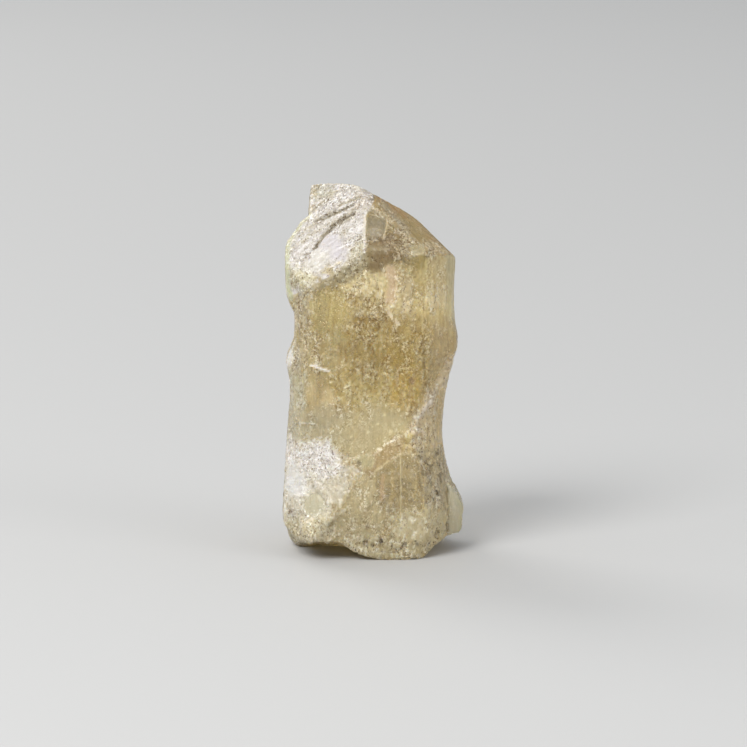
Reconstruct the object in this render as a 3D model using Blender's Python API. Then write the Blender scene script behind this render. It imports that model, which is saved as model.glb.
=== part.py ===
"""A single scapolite crystal: a stubby tetragonal prism with a sloping termination and a broken lower end.

One closed solid, modelled in metres, +Z up along the crystal's c axis, -Y towards the viewer's side (the broad prism
face with the bright termination face above it on the left). The origin is the bottom centre of the bounding box, and
the crystal rests on the flat patch of its broken base.

The body is described in millimetres as an intersection of faces: two side faces that follow measured profiles, a front
and a back face, four truncated prism corners, the termination faces, the tip block and the hollowed underside. Each
vertex of a capsule-shaped grid around the crystal's axis is then carried out along its own ray to where it meets those
faces.
"""

import math

import bmesh
import bpy
import numpy as np

# ---------------------------------------------------------------- driving dimensions (millimetres)
NODE = "scapolite_crystal"
MM = 0.001

COLUMNS = 72            # vertices around the axis
BOTTOM_ROWS = 10        # rings on the rounded lower end of the grid
SIDE_ROWS = 24          # rings along the straight part
TOP_ROWS = 17           # rings on the rounded upper end
AXIS_LOW = 4.6          # height of the axis segment's lower end
AXIS_HIGH = 22.4        # height of the axis segment's upper end
AXIS_X = -0.2           # the axis stands a little left of the middle
REACH = 18.0            # longest ray

# outline seen from the front: (height, left x, right x)
PROFILE = (
    (0.0, -6.75, 6.80),
    (1.4, -6.95, 6.98),
    (2.3, -7.05, 7.08),
    (3.5, -7.12, 7.15),
    (4.4, -7.06, 6.78),
    (5.3, -7.00, 6.22),
    (6.7, -6.92, 5.82),
    (8.2, -6.83, 5.58),
    (9.6, -6.74, 5.50),
    (11.3, -6.59, 5.60),
    (12.7, -6.49, 5.76),
    (13.7, -6.52, 5.96),
    (14.8, -6.70, 6.15),
    (15.6, -6.79, 6.40),
    (16.5, -6.45, 6.66),
    (17.2, -6.19, 6.69),
    (18.2, -6.14, 6.52),
    (19.1, -6.12, 6.41),
    (20.0, -6.50, 6.38),
    (21.2, -6.82, 6.40),
    (23.3, -6.87, 6.48),
    (24.6, -6.86, 6.52),
    (27.0, -6.80, 6.56),
    (32.0, -6.70, 6.60),
)

# the side faces behind the bulges of that outline: (height, left x, right x)
CORE = (
    (0.0, -6.20, 5.90),
    (3.0, -6.55, 6.05),
    (6.0, -6.70, 5.62),
    (9.6, -6.60, 5.46),
    (12.7, -6.42, 5.66),
    (15.6, -6.18, 6.15),
    (18.2, -6.10, 6.30),
    (20.5, -6.22, 6.30),
    (24.6, -6.50, 6.36),
    (32.0, -6.60, 6.40),
)

# where along y the bulges reach the outline: (height, left centre, left half width, right centre, right half width)
BULGES = (
    (0.0, -0.5, 2.6, 0.4, 1.2),
    (4.0, -0.8, 3.0, 0.3, 1.4),
    (9.0, 0.2, 2.6, 0.8, 2.0),
    (13.5, -1.2, 1.8, -0.4, 2.2),
    (15.6, -1.9, 1.1, -0.8, 1.6),
    (18.2, -1.0, 2.0, -0.6, 1.4),
    (21.2, -0.6, 2.0, 0.2, 2.0),
    (25.0, -0.2, 2.6, 0.4, 2.4),
    (32.0, 0.0, 3.0, 0.0, 3.0),
)
BULGE_FADE = 1.1

# front and back faces: (height, front y, back y)
DEPTH = (
    (0.0, -5.05, 5.45),
    (1.5, -5.40, 5.80),
    (4.0, -5.75, 5.95),
    (8.0, -5.45, 5.70),
    (12.0, -5.25, 5.85),
    (16.0, -5.40, 6.00),
    (20.0, -5.55, 5.80),
    (25.0, -5.60, 5.55),
    (32.0, -5.60, 5.50),
)

# truncated prism corners: (side of x, side of y, length along x, length along y)
CORNERS = (
    (-1, -1, 1.35, 2.30),
    (+1, -1, 2.30, 2.60),
    (+1, +1, 2.60, 2.20),
    (-1, +1, 2.20, 3.00),
)

# termination faces: z = a + b*x + c*y, and how far each is rounded into the ones before it
TERMINATION = (
    (30.60, 0.740, 0.950, 0.00),      # bright face, up to the left and the front
    (30.08, -0.120, 0.950, 0.10),     # steep face to its right
    (28.54, -0.620, 0.020, 0.30),     # long slope down to the right
    (28.54, -0.612, 0.232, 0.30),     # the same slope, turned down towards the front
    (29.90, -1.000, -0.150, 0.30),    # and steeper further out
    (28.51, -0.394, -0.600, 0.14),    # back of the ridge
    (29.26, -0.300, -0.900, 0.14),    # back right
)
LEFT_SLOPES = (
    (35.34, 1.610, -0.350),     # steep face under the tip on the left
    (30.25, 0.710, -0.350),     # ledge above it, at the foot of the tip block
)

# tip block: stands proud of the steep left face
TIP_X = (-5.00, -1.50)
TIP_Y = (-0.60, 3.10)
TIP_TOP = 29.20
TIP_BOTTOM = 25.90

# hollowed underside, measured along the front edge: (x, height)
UNDERSIDE = (
    (-7.6, 2.90),
    (-6.6, 2.10),
    (-5.7, 1.28),
    (-4.2, 1.50),
    (-2.9, 1.42),
    (-2.2, 1.14),
    (-1.4, 0.64),
    (-0.6, 0.32),
    (0.1, 0.12),
    (0.7, -0.25),
    (3.4, -0.25),
    (4.3, 0.30),
    (5.0, 0.92),
    (5.8, 1.22),
    (7.4, 1.45),
)
FOOT_START_Y = -2.6     # behind this the hollow closes
FOOT_END_Y = 1.6        # from here back the foot stands on the ground
FOOT_DROP = 1.75        # how far the hollow comes down there
FOOT_RIGHT_X = (4.0, 5.6)   # the foot fades out under the right lobe

# fracture scoops: (centre x, y, z, radius, how deep the scoop blends)
SCOOPS = (
    (-14.6, -9.6, 18.0, 10.4, 0.35),
    (10.8, -12.4, 9.4, 9.3, 0.40),
    (-10.4, 12.9, 11.6, 9.6, 0.30),
    (9.6, 12.2, 18.6, 8.6, 0.30),
)


# ---------------------------------------------------------------- shape functions
def smooth_max(a, b, k):
    h = np.clip(0.5 + 0.5 * (b - a) / k, 0.0, 1.0)
    return a * (1.0 - h) + b * h + k * h * (1.0 - h)


def smooth_min(a, b, k):
    return -smooth_max(-a, -b, k)


def ease(t):
    t = np.clip(t, 0.0, 1.0)
    return t * t * (3.0 - 2.0 * t)


def profile(stations, column, at):
    """A monotone-slope curve through the stations: no overshoot between them."""
    x = np.array([s[0] for s in stations])
    y = np.array([s[column] for s in stations])
    step = np.diff(x)
    slope = np.diff(y) / step
    tangent = np.zeros_like(y)
    same = slope[:-1] * slope[1:] > 0
    mean = 2.0 * slope[:-1] * slope[1:] / np.where(same, slope[:-1] + slope[1:], 1.0)
    tangent[1:-1] = np.where(same, mean, 0.0)
    i = np.clip(np.searchsorted(x, at) - 1, 0, len(x) - 2)
    t = np.clip((at - x[i]) / step[i], 0.0, 1.0)
    h00 = 2 * t**3 - 3 * t**2 + 1
    h10 = t**3 - 2 * t**2 + t
    h01 = -2 * t**3 + 3 * t**2
    h11 = t**3 - t**2
    return h00 * y[i] + h10 * step[i] * tangent[i] + h01 * y[i + 1] + h11 * step[i] * tangent[i + 1]


def slope_face(p, a, b, c):
    return (p[:, 2] - (a + b * p[:, 0] + c * p[:, 1])) / math.sqrt(1.0 + b * b + c * c)


def body(p):
    """Signed measure of the crystal at the points p (millimetres): negative inside, zero on its surface."""
    x, y, z = p[:, 0], p[:, 1], p[:, 2]
    left, right = profile(CORE, 1, z), profile(CORE, 2, z)
    reach_left = ease(1.0 - (np.abs(y - profile(BULGES, 1, z)) - profile(BULGES, 2, z)) / BULGE_FADE)
    reach_right = ease(1.0 - (np.abs(y - profile(BULGES, 3, z)) - profile(BULGES, 4, z)) / BULGE_FADE)
    left = left + (profile(PROFILE, 1, z) - left) * reach_left
    right = right + (profile(PROFILE, 2, z) - right) * reach_right
    front, back = profile(DEPTH, 1, z), profile(DEPTH, 2, z)
    # the broad faces lean a little and carry long, shallow growth undulations
    front = front + 0.030 * x + 0.07 * np.sin(0.55 * z + 0.4 * x) + 0.05 * np.sin(1.7 * x + 0.3)
    back = back + 0.045 * x + 0.08 * np.sin(0.45 * z - 0.5 * x + 1.0) + 0.05 * np.sin(1.9 * x)
    f = smooth_max(left - x, x - right, 0.05)
    f = smooth_max(f, front - y, 0.25)
    f = smooth_max(f, y - back, 0.25)
    for side_x, side_y, along_x, along_y in CORNERS:
        edge_x = right if side_x > 0 else left
        edge_y = back if side_y > 0 else front
        u = side_x * (x - edge_x) / along_x
        w = side_y * (y - edge_y) / along_y
        f = smooth_max(f, (u + w + 1.0) / math.hypot(1.0 / along_x, 1.0 / along_y), 0.30)
    for cx, cy, cz, radius, blend in SCOOPS:
        away = np.sqrt((x - cx) ** 2 + (y - cy) ** 2 + (z - cz) ** 2)
        f = smooth_max(f, radius - away, blend)
    top = slope_face(p, *TERMINATION[0][:3])
    for a, b, c, round_off in TERMINATION[1:]:
        top = smooth_max(top, slope_face(p, a, b, c), round_off)
    tip = np.maximum(TIP_X[0] + 0.07 * (z - 27.0) - x, x - TIP_X[1])
    tip = np.maximum(tip, np.maximum(TIP_Y[0] - y, y - TIP_Y[1]))
    tip = np.maximum(tip, np.maximum(z - TIP_TOP, TIP_BOTTOM - z))
    tip = smooth_max(tip, smooth_max(f, top, 0.15), 0.15)
    for a, b, c in LEFT_SLOPES:
        top = smooth_max(top, slope_face(p, a, b, c), 0.10)
    f = smooth_max(f, top, 0.20)
    f = smooth_min(f, tip, 0.15)
    # underside: hollow at the front, standing on the ground further back
    closing = ease((y - FOOT_START_Y) / (FOOT_END_Y - FOOT_START_Y))
    closing = closing * (1.0 - ease((x - FOOT_RIGHT_X[0]) / (FOOT_RIGHT_X[1] - FOOT_RIGHT_X[0])))
    under = profile(UNDERSIDE, 1, x) - FOOT_DROP * closing
    f = smooth_max(f, (under - z) * 0.9, 0.15)
    return np.maximum(f, -z)


def grid_rays(columns, bottom_rows, side_rows, top_rows):
    """Starting points on the axis and directions, ring by ring from the lower pole to the upper one."""
    angles = 2.0 * math.pi * np.arange(columns) / columns
    ring = np.stack([np.cos(angles), np.sin(angles), np.zeros(columns)], axis=1)
    heights, tilts = [], []
    for k in range(1, bottom_rows + 1):
        heights.append(AXIS_LOW)
        tilts.append(-0.5 * math.pi * (1.0 - k / (bottom_rows + 1.0)))
    for k in range(side_rows):
        heights.append(AXIS_LOW + (AXIS_HIGH - AXIS_LOW) * k / (side_rows - 1.0))
        tilts.append(0.0)
    for k in range(1, top_rows + 1):
        heights.append(AXIS_HIGH)
        tilts.append(0.5 * math.pi * k / (top_rows + 1.0))
    start = np.array([(AXIS_X, 0.0, h) for h in heights])
    direction = [ring * math.cos(t) + np.array((0.0, 0.0, math.sin(t))) for t in tilts]
    return np.repeat(start, columns, axis=0), np.concatenate(direction)


def meet_surface(start, direction):
    """The point along each ray where it leaves the body, by halving the interval."""
    near = np.zeros(len(start))
    far = np.full(len(start), REACH)
    for _ in range(36):
        middle = 0.5 * (near + far)
        inside = body(start + direction * middle[:, None]) < 0.0
        near = np.where(inside, middle, near)
        far = np.where(inside, far, middle)
    return start + direction * (0.5 * (near + far))[:, None]


def surface_normals(points, step=0.02):
    normals = np.zeros_like(points)
    for axis in range(3):
        shift = np.zeros(3)
        shift[axis] = step
        normals[:, axis] = body(points + shift) - body(points - shift)
    return normals / np.maximum(np.linalg.norm(normals, axis=1), 1e-9)[:, None]


def sharpened_grid():
    """Grid points moved sideways onto the edges where faces meet.

    A grid twice as fine gives nine surface samples around each vertex. The vertex goes to the point that lies closest
    to all nine tangent planes, but by less than half a cell, so neighbours never swap places.
    """
    fine = meet_surface(*grid_rays(2 * COLUMNS, 2 * BOTTOM_ROWS + 1, 2 * SIDE_ROWS - 1, 2 * TOP_ROWS + 1))
    rows = BOTTOM_ROWS + SIDE_ROWS + TOP_ROWS
    normals = surface_normals(fine)
    fine = fine.reshape(2 * rows + 1, 2 * COLUMNS, 3)
    normals = normals.reshape(2 * rows + 1, 2 * COLUMNS, 3)
    centre = fine[1::2, 0::2]
    matrix = np.zeros(centre.shape[:2] + (3, 3)) + 0.04 * np.eye(3)
    vector = np.zeros(centre.shape)
    for dr in (-1, 0, 1):
        for dc in (-1, 0, 1):
            q = np.roll(fine, -dc, axis=1)[1 + dr:2 * rows + dr:2, 0::2] - centre
            n = np.roll(normals, -dc, axis=1)[1 + dr:2 * rows + dr:2, 0::2]
            matrix += n[..., :, None] * n[..., None, :]
            vector += n * np.sum(n * q, axis=-1, keepdims=True)
    move = np.linalg.solve(matrix, vector[..., None])[..., 0]
    across = np.linalg.norm(np.roll(fine, -1, axis=1)[1::2, 0::2] - centre, axis=-1)
    along = np.minimum(np.linalg.norm(fine[2::2, 0::2] - centre, axis=-1),
                       np.linalg.norm(fine[0:-1:2, 0::2] - centre, axis=-1))
    limit = 0.8 * np.minimum(across, along)
    length = np.maximum(np.linalg.norm(move, axis=-1), 1e-9)
    move *= np.minimum(1.0, limit / length)[..., None]
    return (centre + move).reshape(-1, 3)


# ---------------------------------------------------------------- the solid
def make_material():
    material = bpy.data.materials.new("scapolite")
    material.use_nodes = True
    shader = material.node_tree.nodes["Principled BSDF"]
    shader.inputs["Base Color"].default_value = (0.62, 0.50, 0.27, 1.0)
    shader.inputs["Roughness"].default_value = 0.35
    shader.inputs["Metallic"].default_value = 0.0
    shader.inputs["IOR"].default_value = 1.55
    material.diffuse_color = (0.62, 0.50, 0.27, 1.0)
    return material


def make_crystal():
    points = sharpened_grid()
    ends = np.array(((AXIS_X, 0.0, AXIS_LOW), (AXIS_X, 0.0, AXIS_HIGH)))
    poles = meet_surface(ends, np.array(((0.0, 0.0, -1.0), (0.0, 0.0, 1.0))))
    points = np.concatenate([points, poles])
    points[points[:, 2] < 0.02, 2] = 0.0
    middle = 0.5 * (points[:, :2].min(axis=0) + points[:, :2].max(axis=0))
    points[:, :2] -= middle
    mesh = bmesh.new()
    verts = [mesh.verts.new(tuple(float(v) * MM for v in p)) for p in points]
    rows = BOTTOM_ROWS + SIDE_ROWS + TOP_ROWS
    low, high = verts[-2], verts[-1]
    for r in range(rows - 1):
        for c in range(COLUMNS):
            d = (c + 1) % COLUMNS
            mesh.faces.new((verts[r * COLUMNS + c], verts[r * COLUMNS + d],
                            verts[(r + 1) * COLUMNS + d], verts[(r + 1) * COLUMNS + c]))
    for c in range(COLUMNS):
        d = (c + 1) % COLUMNS
        mesh.faces.new((low, verts[d], verts[c]))
        mesh.faces.new((high, verts[(rows - 1) * COLUMNS + c], verts[(rows - 1) * COLUMNS + d]))
    bmesh.ops.triangulate(mesh, faces=mesh.faces[:], quad_method="SHORT_EDGE")
    bmesh.ops.recalc_face_normals(mesh, faces=mesh.faces[:])
    data = bpy.data.meshes.new(NODE)
    mesh.to_mesh(data)
    mesh.free()
    data.shade_smooth()
    data.set_sharp_from_angle(angle=math.radians(24.0))
    data.materials.append(make_material())
    crystal = bpy.data.objects.new(NODE, data)
    bpy.context.scene.collection.objects.link(crystal)
    return crystal


for old in list(bpy.data.objects):
    bpy.data.objects.remove(old, do_unlink=True)

make_crystal()
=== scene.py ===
"""Looks of the scapolite crystal: one natural, see-through, honey-gold prism with a frosty slanted tip.

The crystal's shape is the CAD part's own shape function, evaluated on a much finer grid, with the growth lines, etching,
terraces and fracture facets added as real geometry. All lengths in the shape and paint code are millimetres.
"""

import math

import bpy
import numpy as np
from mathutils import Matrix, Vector


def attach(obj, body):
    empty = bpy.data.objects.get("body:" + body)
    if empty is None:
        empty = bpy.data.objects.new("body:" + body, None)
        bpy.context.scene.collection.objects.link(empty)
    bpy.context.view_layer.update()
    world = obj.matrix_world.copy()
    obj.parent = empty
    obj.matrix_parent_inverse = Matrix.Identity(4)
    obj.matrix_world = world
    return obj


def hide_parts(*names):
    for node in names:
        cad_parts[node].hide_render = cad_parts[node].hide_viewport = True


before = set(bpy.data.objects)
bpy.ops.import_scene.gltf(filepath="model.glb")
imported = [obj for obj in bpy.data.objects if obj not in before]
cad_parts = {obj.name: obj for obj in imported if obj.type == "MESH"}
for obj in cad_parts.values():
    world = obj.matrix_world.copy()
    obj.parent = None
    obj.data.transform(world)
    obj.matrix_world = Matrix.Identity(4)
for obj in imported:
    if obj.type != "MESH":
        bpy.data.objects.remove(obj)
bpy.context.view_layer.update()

MM = 0.001

# ------------------------------------------------------------------------------------------------ camera
CAM_DISTANCE = 400.0
CAM_ELEVATION = math.radians(10.0)
CAM_TARGET = (0.05, 0.0, 14.03)
FOCAL_PX = 5040.0           # for a picture 747 pixels wide

camera_data = bpy.data.cameras.new("camera")
camera_data.sensor_width = 36.0
camera_data.lens = FOCAL_PX / 747.0 * 36.0
camera_data.clip_start = 0.01
camera_data.clip_end = 20.0
camera = bpy.data.objects.new("camera", camera_data)
bpy.context.scene.collection.objects.link(camera)
target = Vector(CAM_TARGET) * MM
camera.location = target + Vector((0.0, -math.cos(CAM_ELEVATION), math.sin(CAM_ELEVATION))) * CAM_DISTANCE * MM
camera.rotation_euler = (target - camera.location).to_track_quat("-Z", "Y").to_euler()
bpy.context.scene.camera = camera

# ------------------------------------------------------------------------------------------------ shape (as the CAD part)
COLUMNS = 400
BOTTOM_ROWS = 40
SIDE_ROWS = 130
TOP_ROWS = 72
AXIS_LOW = 4.6
AXIS_HIGH = 22.4
AXIS_X = -0.2
REACH = 18.0
OFFSET = (0.01416, 0.12608)     # from the shape function's own origin to the bottom centre of the part's box

PROFILE = (
    (0.0, -6.75, 6.80), (1.4, -6.95, 6.98), (2.3, -7.05, 7.08), (3.5, -7.12, 7.15), (4.4, -7.06, 6.78),
    (5.3, -7.00, 6.22), (6.7, -6.92, 5.82), (8.2, -6.83, 5.58), (9.6, -6.74, 5.50), (11.3, -6.59, 5.60),
    (12.7, -6.49, 5.76), (13.7, -6.52, 5.96), (14.8, -6.70, 6.15), (15.6, -6.79, 6.40), (16.5, -6.45, 6.66),
    (17.2, -6.19, 6.69), (18.2, -6.14, 6.52), (19.1, -6.12, 6.41), (20.0, -6.50, 6.38), (21.2, -6.82, 6.40),
    (23.3, -6.87, 6.48), (24.6, -6.86, 6.52), (27.0, -6.80, 6.56), (32.0, -6.70, 6.60),
)
CORE = (
    (0.0, -6.20, 5.90), (3.0, -6.55, 6.05), (6.0, -6.70, 5.62), (9.6, -6.60, 5.46), (12.7, -6.42, 5.66),
    (15.6, -6.18, 6.15), (18.2, -6.10, 6.30), (20.5, -6.22, 6.30), (24.6, -6.50, 6.36), (32.0, -6.60, 6.40),
)
BULGES = (
    (0.0, -0.5, 2.6, 0.4, 1.2), (4.0, -0.8, 3.0, 0.3, 1.4), (9.0, 0.2, 2.6, 0.8, 2.0), (13.5, -1.2, 1.8, -0.4, 2.2),
    (15.6, -1.9, 1.1, -0.8, 1.6), (18.2, -1.0, 2.0, -0.6, 1.4), (21.2, -0.6, 2.0, 0.2, 2.0),
    (25.0, -0.2, 2.6, 0.4, 2.4), (32.0, 0.0, 3.0, 0.0, 3.0),
)
BULGE_FADE = 1.1
DEPTH = (
    (0.0, -5.05, 5.45), (1.5, -5.40, 5.80), (4.0, -5.75, 5.95), (8.0, -5.45, 5.70), (12.0, -5.25, 5.85),
    (16.0, -5.40, 6.00), (20.0, -5.55, 5.80), (25.0, -5.60, 5.55), (32.0, -5.60, 5.50),
)
CORNERS = (
    (-1, -1, 1.35, 2.30), (+1, -1, 2.30, 2.60), (+1, +1, 2.60, 2.20), (-1, +1, 2.20, 3.00),
)
TERMINATION = (
    (30.60, 0.740, 0.950), (30.08, -0.120, 0.950), (28.54, -0.620, 0.020), (28.54, -0.612, 0.232),
    (29.90, -1.000, -0.150), (28.51, -0.394, -0.600), (29.26, -0.300, -0.900),
)
LEFT_SLOPES = ((35.34, 1.610, -0.350), (30.25, 0.710, -0.350))
TIP_X = (-5.00, -1.50)
TIP_Y = (-0.60, 3.10)
TIP_TOP = 29.20
TIP_BOTTOM = 25.90
UNDERSIDE = (
    (-7.6, 2.90), (-6.6, 2.10), (-5.7, 1.28), (-4.2, 1.50), (-2.9, 1.42), (-2.2, 1.14), (-1.4, 0.64), (-0.6, 0.32),
    (0.1, 0.12), (0.7, -0.25), (3.4, -0.25), (4.3, 0.30), (5.0, 0.92), (5.8, 1.22), (7.4, 1.45),
)
FOOT_START_Y = -2.6
FOOT_END_Y = 1.6
FOOT_DROP = 1.75
FOOT_RIGHT_X = (4.0, 5.6)
SCOOPS = (
    (-14.6, -9.6, 18.0, 10.4, 0.35), (10.8, -12.4, 9.4, 9.3, 0.40), (-10.4, 12.9, 11.6, 9.6, 0.30),
    (9.6, 12.2, 18.6, 8.6, 0.30),
)

# broken, shell-like faces: a wide sphere takes a shallow bite (a point on the surface, the way it faces, width, depth)
BITES = (
    ((2.90, -5.55, 4.90), (0.06, -0.98, -0.18), 3.60, 0.40),        # arch low on the right of the front
    ((-4.60, -5.30, 5.60), (-0.34, -0.93, 0.12), 3.30, 0.30),       # frosty face low on the left of the front
    ((-1.10, -5.55, 2.60), (-0.02, -0.97, -0.22), 2.10, 0.26),      # between the two, at the foot
    ((-3.30, 5.75, 19.80), (0.05, 0.98, 0.18), 3.00, 0.34),         # back, high
    ((2.60, 5.85, 6.10), (0.12, 0.98, -0.12), 3.60, 0.50),          # back, low
    ((-6.75, 0.90, 5.20), (-0.98, 0.12, -0.14), 2.60, 0.32),        # left side, low
    ((6.10, 1.50, 12.60), (0.98, 0.10, 0.12), 2.30, 0.26),          # right side
)
BITE_SPHERES = []
for (bx, by, bz), (fx, fy, fz), bite_width, bite_depth in BITES:
    bite_radius = 0.5 * (bite_width**2 / bite_depth + bite_depth)
    stand_off = (bite_radius - bite_depth) / math.sqrt(fx * fx + fy * fy + fz * fz)
    BITE_SPHERES.append((bx + fx * stand_off, by + fy * stand_off, bz + fz * stand_off, bite_radius, 0.20))
DISHES = tuple(BITE_SPHERES) + ((11.00, -23.95, 8.50, 20.0, 0.30),)     # the last one: the waist, right of the front


def smooth_max(a, b, k):
    h = np.clip(0.5 + 0.5 * (b - a) / k, 0.0, 1.0)
    return a * (1.0 - h) + b * h + k * h * (1.0 - h)


def smooth_min(a, b, k):
    return -smooth_max(-a, -b, k)


def ease(t):
    t = np.clip(t, 0.0, 1.0)
    return t * t * (3.0 - 2.0 * t)


def curve_table(stations, column):
    """A monotone-slope curve through the stations, tabled finely for fast look-up."""
    x = np.array([s[0] for s in stations])
    y = np.array([s[column] for s in stations])
    step = np.diff(x)
    slope = np.diff(y) / step
    tangent = np.zeros_like(y)
    same = slope[:-1] * slope[1:] > 0
    tangent[1:-1] = np.where(same, 2.0 * slope[:-1] * slope[1:] / np.where(same, slope[:-1] + slope[1:], 1.0), 0.0)
    at = np.linspace(x[0], x[-1], 1200)
    i = np.clip(np.searchsorted(x, at) - 1, 0, len(x) - 2)
    t = (at - x[i]) / step[i]
    value = ((2 * t**3 - 3 * t**2 + 1) * y[i] + (t**3 - 2 * t**2 + t) * step[i] * tangent[i]
             + (-2 * t**3 + 3 * t**2) * y[i + 1] + (t**3 - t**2) * step[i] * tangent[i + 1])
    return at, value


TABLES = {}


def profile(stations, column, at):
    key = (id(stations), column)
    if key not in TABLES:
        TABLES[key] = curve_table(stations, column)
    return np.interp(at, *TABLES[key])


def slope_face(p, a, b, c):
    return (p[:, 2] - (a + b * p[:, 0] + c * p[:, 1])) / math.sqrt(1.0 + b * b + c * c)


def body(p):
    x, y, z = p[:, 0], p[:, 1], p[:, 2]
    left, right = profile(CORE, 1, z), profile(CORE, 2, z)
    reach_left = ease(1.0 - (np.abs(y - profile(BULGES, 1, z)) - profile(BULGES, 2, z)) / BULGE_FADE)
    reach_right = ease(1.0 - (np.abs(y - profile(BULGES, 3, z)) - profile(BULGES, 4, z)) / BULGE_FADE)
    left = left + (profile(PROFILE, 1, z) - left) * reach_left
    right = right + (profile(PROFILE, 2, z) - right) * reach_right
    front, back = profile(DEPTH, 1, z), profile(DEPTH, 2, z)
    front = front + 0.030 * x + 0.07 * np.sin(0.55 * z + 0.4 * x) + 0.05 * np.sin(1.7 * x + 0.3)
    back = back + 0.045 * x + 0.08 * np.sin(0.45 * z - 0.5 * x + 1.0) + 0.05 * np.sin(1.9 * x)
    f = smooth_max(left - x, x - right, 0.05)
    f = smooth_max(f, front - y, 0.12)
    f = smooth_max(f, y - back, 0.12)
    for (side_x, side_y, along_x, along_y), round_off in zip(CORNERS, (0.55, 0.90, 0.20, 0.30)):
        edge_x = right if side_x > 0 else left
        edge_y = back if side_y > 0 else front
        u = side_x * (x - edge_x) / along_x
        w = side_y * (y - edge_y) / along_y
        f = smooth_max(f, (u + w + 1.0) / math.hypot(1.0 / along_x, 1.0 / along_y), round_off)
    for cx, cy, cz, radius, blend in SCOOPS + DISHES:
        away = np.sqrt((x - cx) ** 2 + (y - cy) ** 2 + (z - cz) ** 2)
        f = smooth_max(f, radius - away, blend)
    top = slope_face(p, *TERMINATION[0])
    for (a, b, c), round_off in zip(TERMINATION[1:], (0.10, 0.30, 0.30, 0.30, 0.14, 0.14)):
        top = smooth_max(top, slope_face(p, a, b, c), round_off)
    tip = np.maximum(TIP_X[0] + 0.07 * (z - 27.0) - x, x - TIP_X[1])
    tip = np.maximum(tip, np.maximum(TIP_Y[0] - y, y - TIP_Y[1]))
    tip = np.maximum(tip, np.maximum(z - TIP_TOP, TIP_BOTTOM - z))
    tip = smooth_max(tip, smooth_max(f, top, 0.08), 0.12)
    for a, b, c in LEFT_SLOPES:
        top = smooth_max(top, slope_face(p, a, b, c), 0.08)
    f = smooth_max(f, top, 0.22)
    f = smooth_min(f, tip, 0.12)
    closing = ease((y - FOOT_START_Y) / (FOOT_END_Y - FOOT_START_Y))
    closing = closing * (1.0 - ease((x - FOOT_RIGHT_X[0]) / (FOOT_RIGHT_X[1] - FOOT_RIGHT_X[0])))
    under = profile(UNDERSIDE, 1, x) - FOOT_DROP * closing
    f = smooth_max(f, (under - z) * 0.9, 0.10)
    return np.maximum(f, -z)


def grid_rays(columns, bottom_rows, side_rows, top_rows):
    angles = 2.0 * math.pi * np.arange(columns) / columns
    ring = np.stack([np.cos(angles), np.sin(angles), np.zeros(columns)], axis=1)
    heights, tilts = [], []
    for k in range(1, bottom_rows + 1):
        heights.append(AXIS_LOW)
        tilts.append(-0.5 * math.pi * (1.0 - k / (bottom_rows + 1.0)))
    for k in range(side_rows):
        heights.append(AXIS_LOW + (AXIS_HIGH - AXIS_LOW) * k / (side_rows - 1.0))
        tilts.append(0.0)
    for k in range(1, top_rows + 1):
        heights.append(AXIS_HIGH)
        tilts.append(0.5 * math.pi * k / (top_rows + 1.0))
    start = np.array([(AXIS_X, 0.0, h) for h in heights])
    direction = [ring * math.cos(t) + np.array((0.0, 0.0, math.sin(t))) for t in tilts]
    return np.repeat(start, columns, axis=0), np.concatenate(direction)


def meet_surface(start, direction):
    near = np.zeros(len(start))
    far = np.full(len(start), REACH)
    for _ in range(26):
        middle = 0.5 * (near + far)
        inside = body(start + direction * middle[:, None]) < 0.0
        near = np.where(inside, middle, near)
        far = np.where(inside, far, middle)
    return start + direction * (0.5 * (near + far))[:, None]


def surface_normals(points, step=0.03):
    normals = np.zeros_like(points)
    for axis in range(3):
        shift = np.zeros(3)
        shift[axis] = step
        normals[:, axis] = body(points + shift) - body(points - shift)
    return normals / np.maximum(np.linalg.norm(normals, axis=1), 1e-9)[:, None]


# ------------------------------------------------------------------------------------------------ noise
def hashed(ix, iy, iz, seed):
    """A repeatable number from 0 to 1 for each lattice point."""
    h = (ix * 374761393 + iy * 668265263 + iz * 2147483647 + seed * 974634777) & 0xFFFFFFFF
    h = ((h ^ (h >> 13)) * 1274126177) & 0xFFFFFFFF
    h = ((h ^ (h >> 16)) * 2246822519) & 0xFFFFFFFF
    return ((h ^ (h >> 15)) & 0xFFFFFF) / float(0xFFFFFF)


def value_noise(p, seed=0):
    """Smooth noise from -1 to 1."""
    cell = np.floor(p).astype(np.int64)
    t = p - cell
    t = t * t * t * (t * (t * 6.0 - 15.0) + 10.0)
    total = 0.0
    for dx in (0, 1):
        wx = t[:, 0] if dx else 1.0 - t[:, 0]
        for dy in (0, 1):
            wy = t[:, 1] if dy else 1.0 - t[:, 1]
            for dz in (0, 1):
                wz = t[:, 2] if dz else 1.0 - t[:, 2]
                total = total + wx * wy * wz * hashed(cell[:, 0] + dx, cell[:, 1] + dy, cell[:, 2] + dz, seed)
    return 2.0 * total - 1.0


def fractal(p, seed=0, octaves=4, gain=0.5):
    total, size, weight = 0.0, 1.0, 0.0
    for k in range(octaves):
        total = total + size * value_noise(p * 2.0**k + 17.3 * k, seed + k)
        weight += size
        size *= gain
    return total / weight


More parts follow.
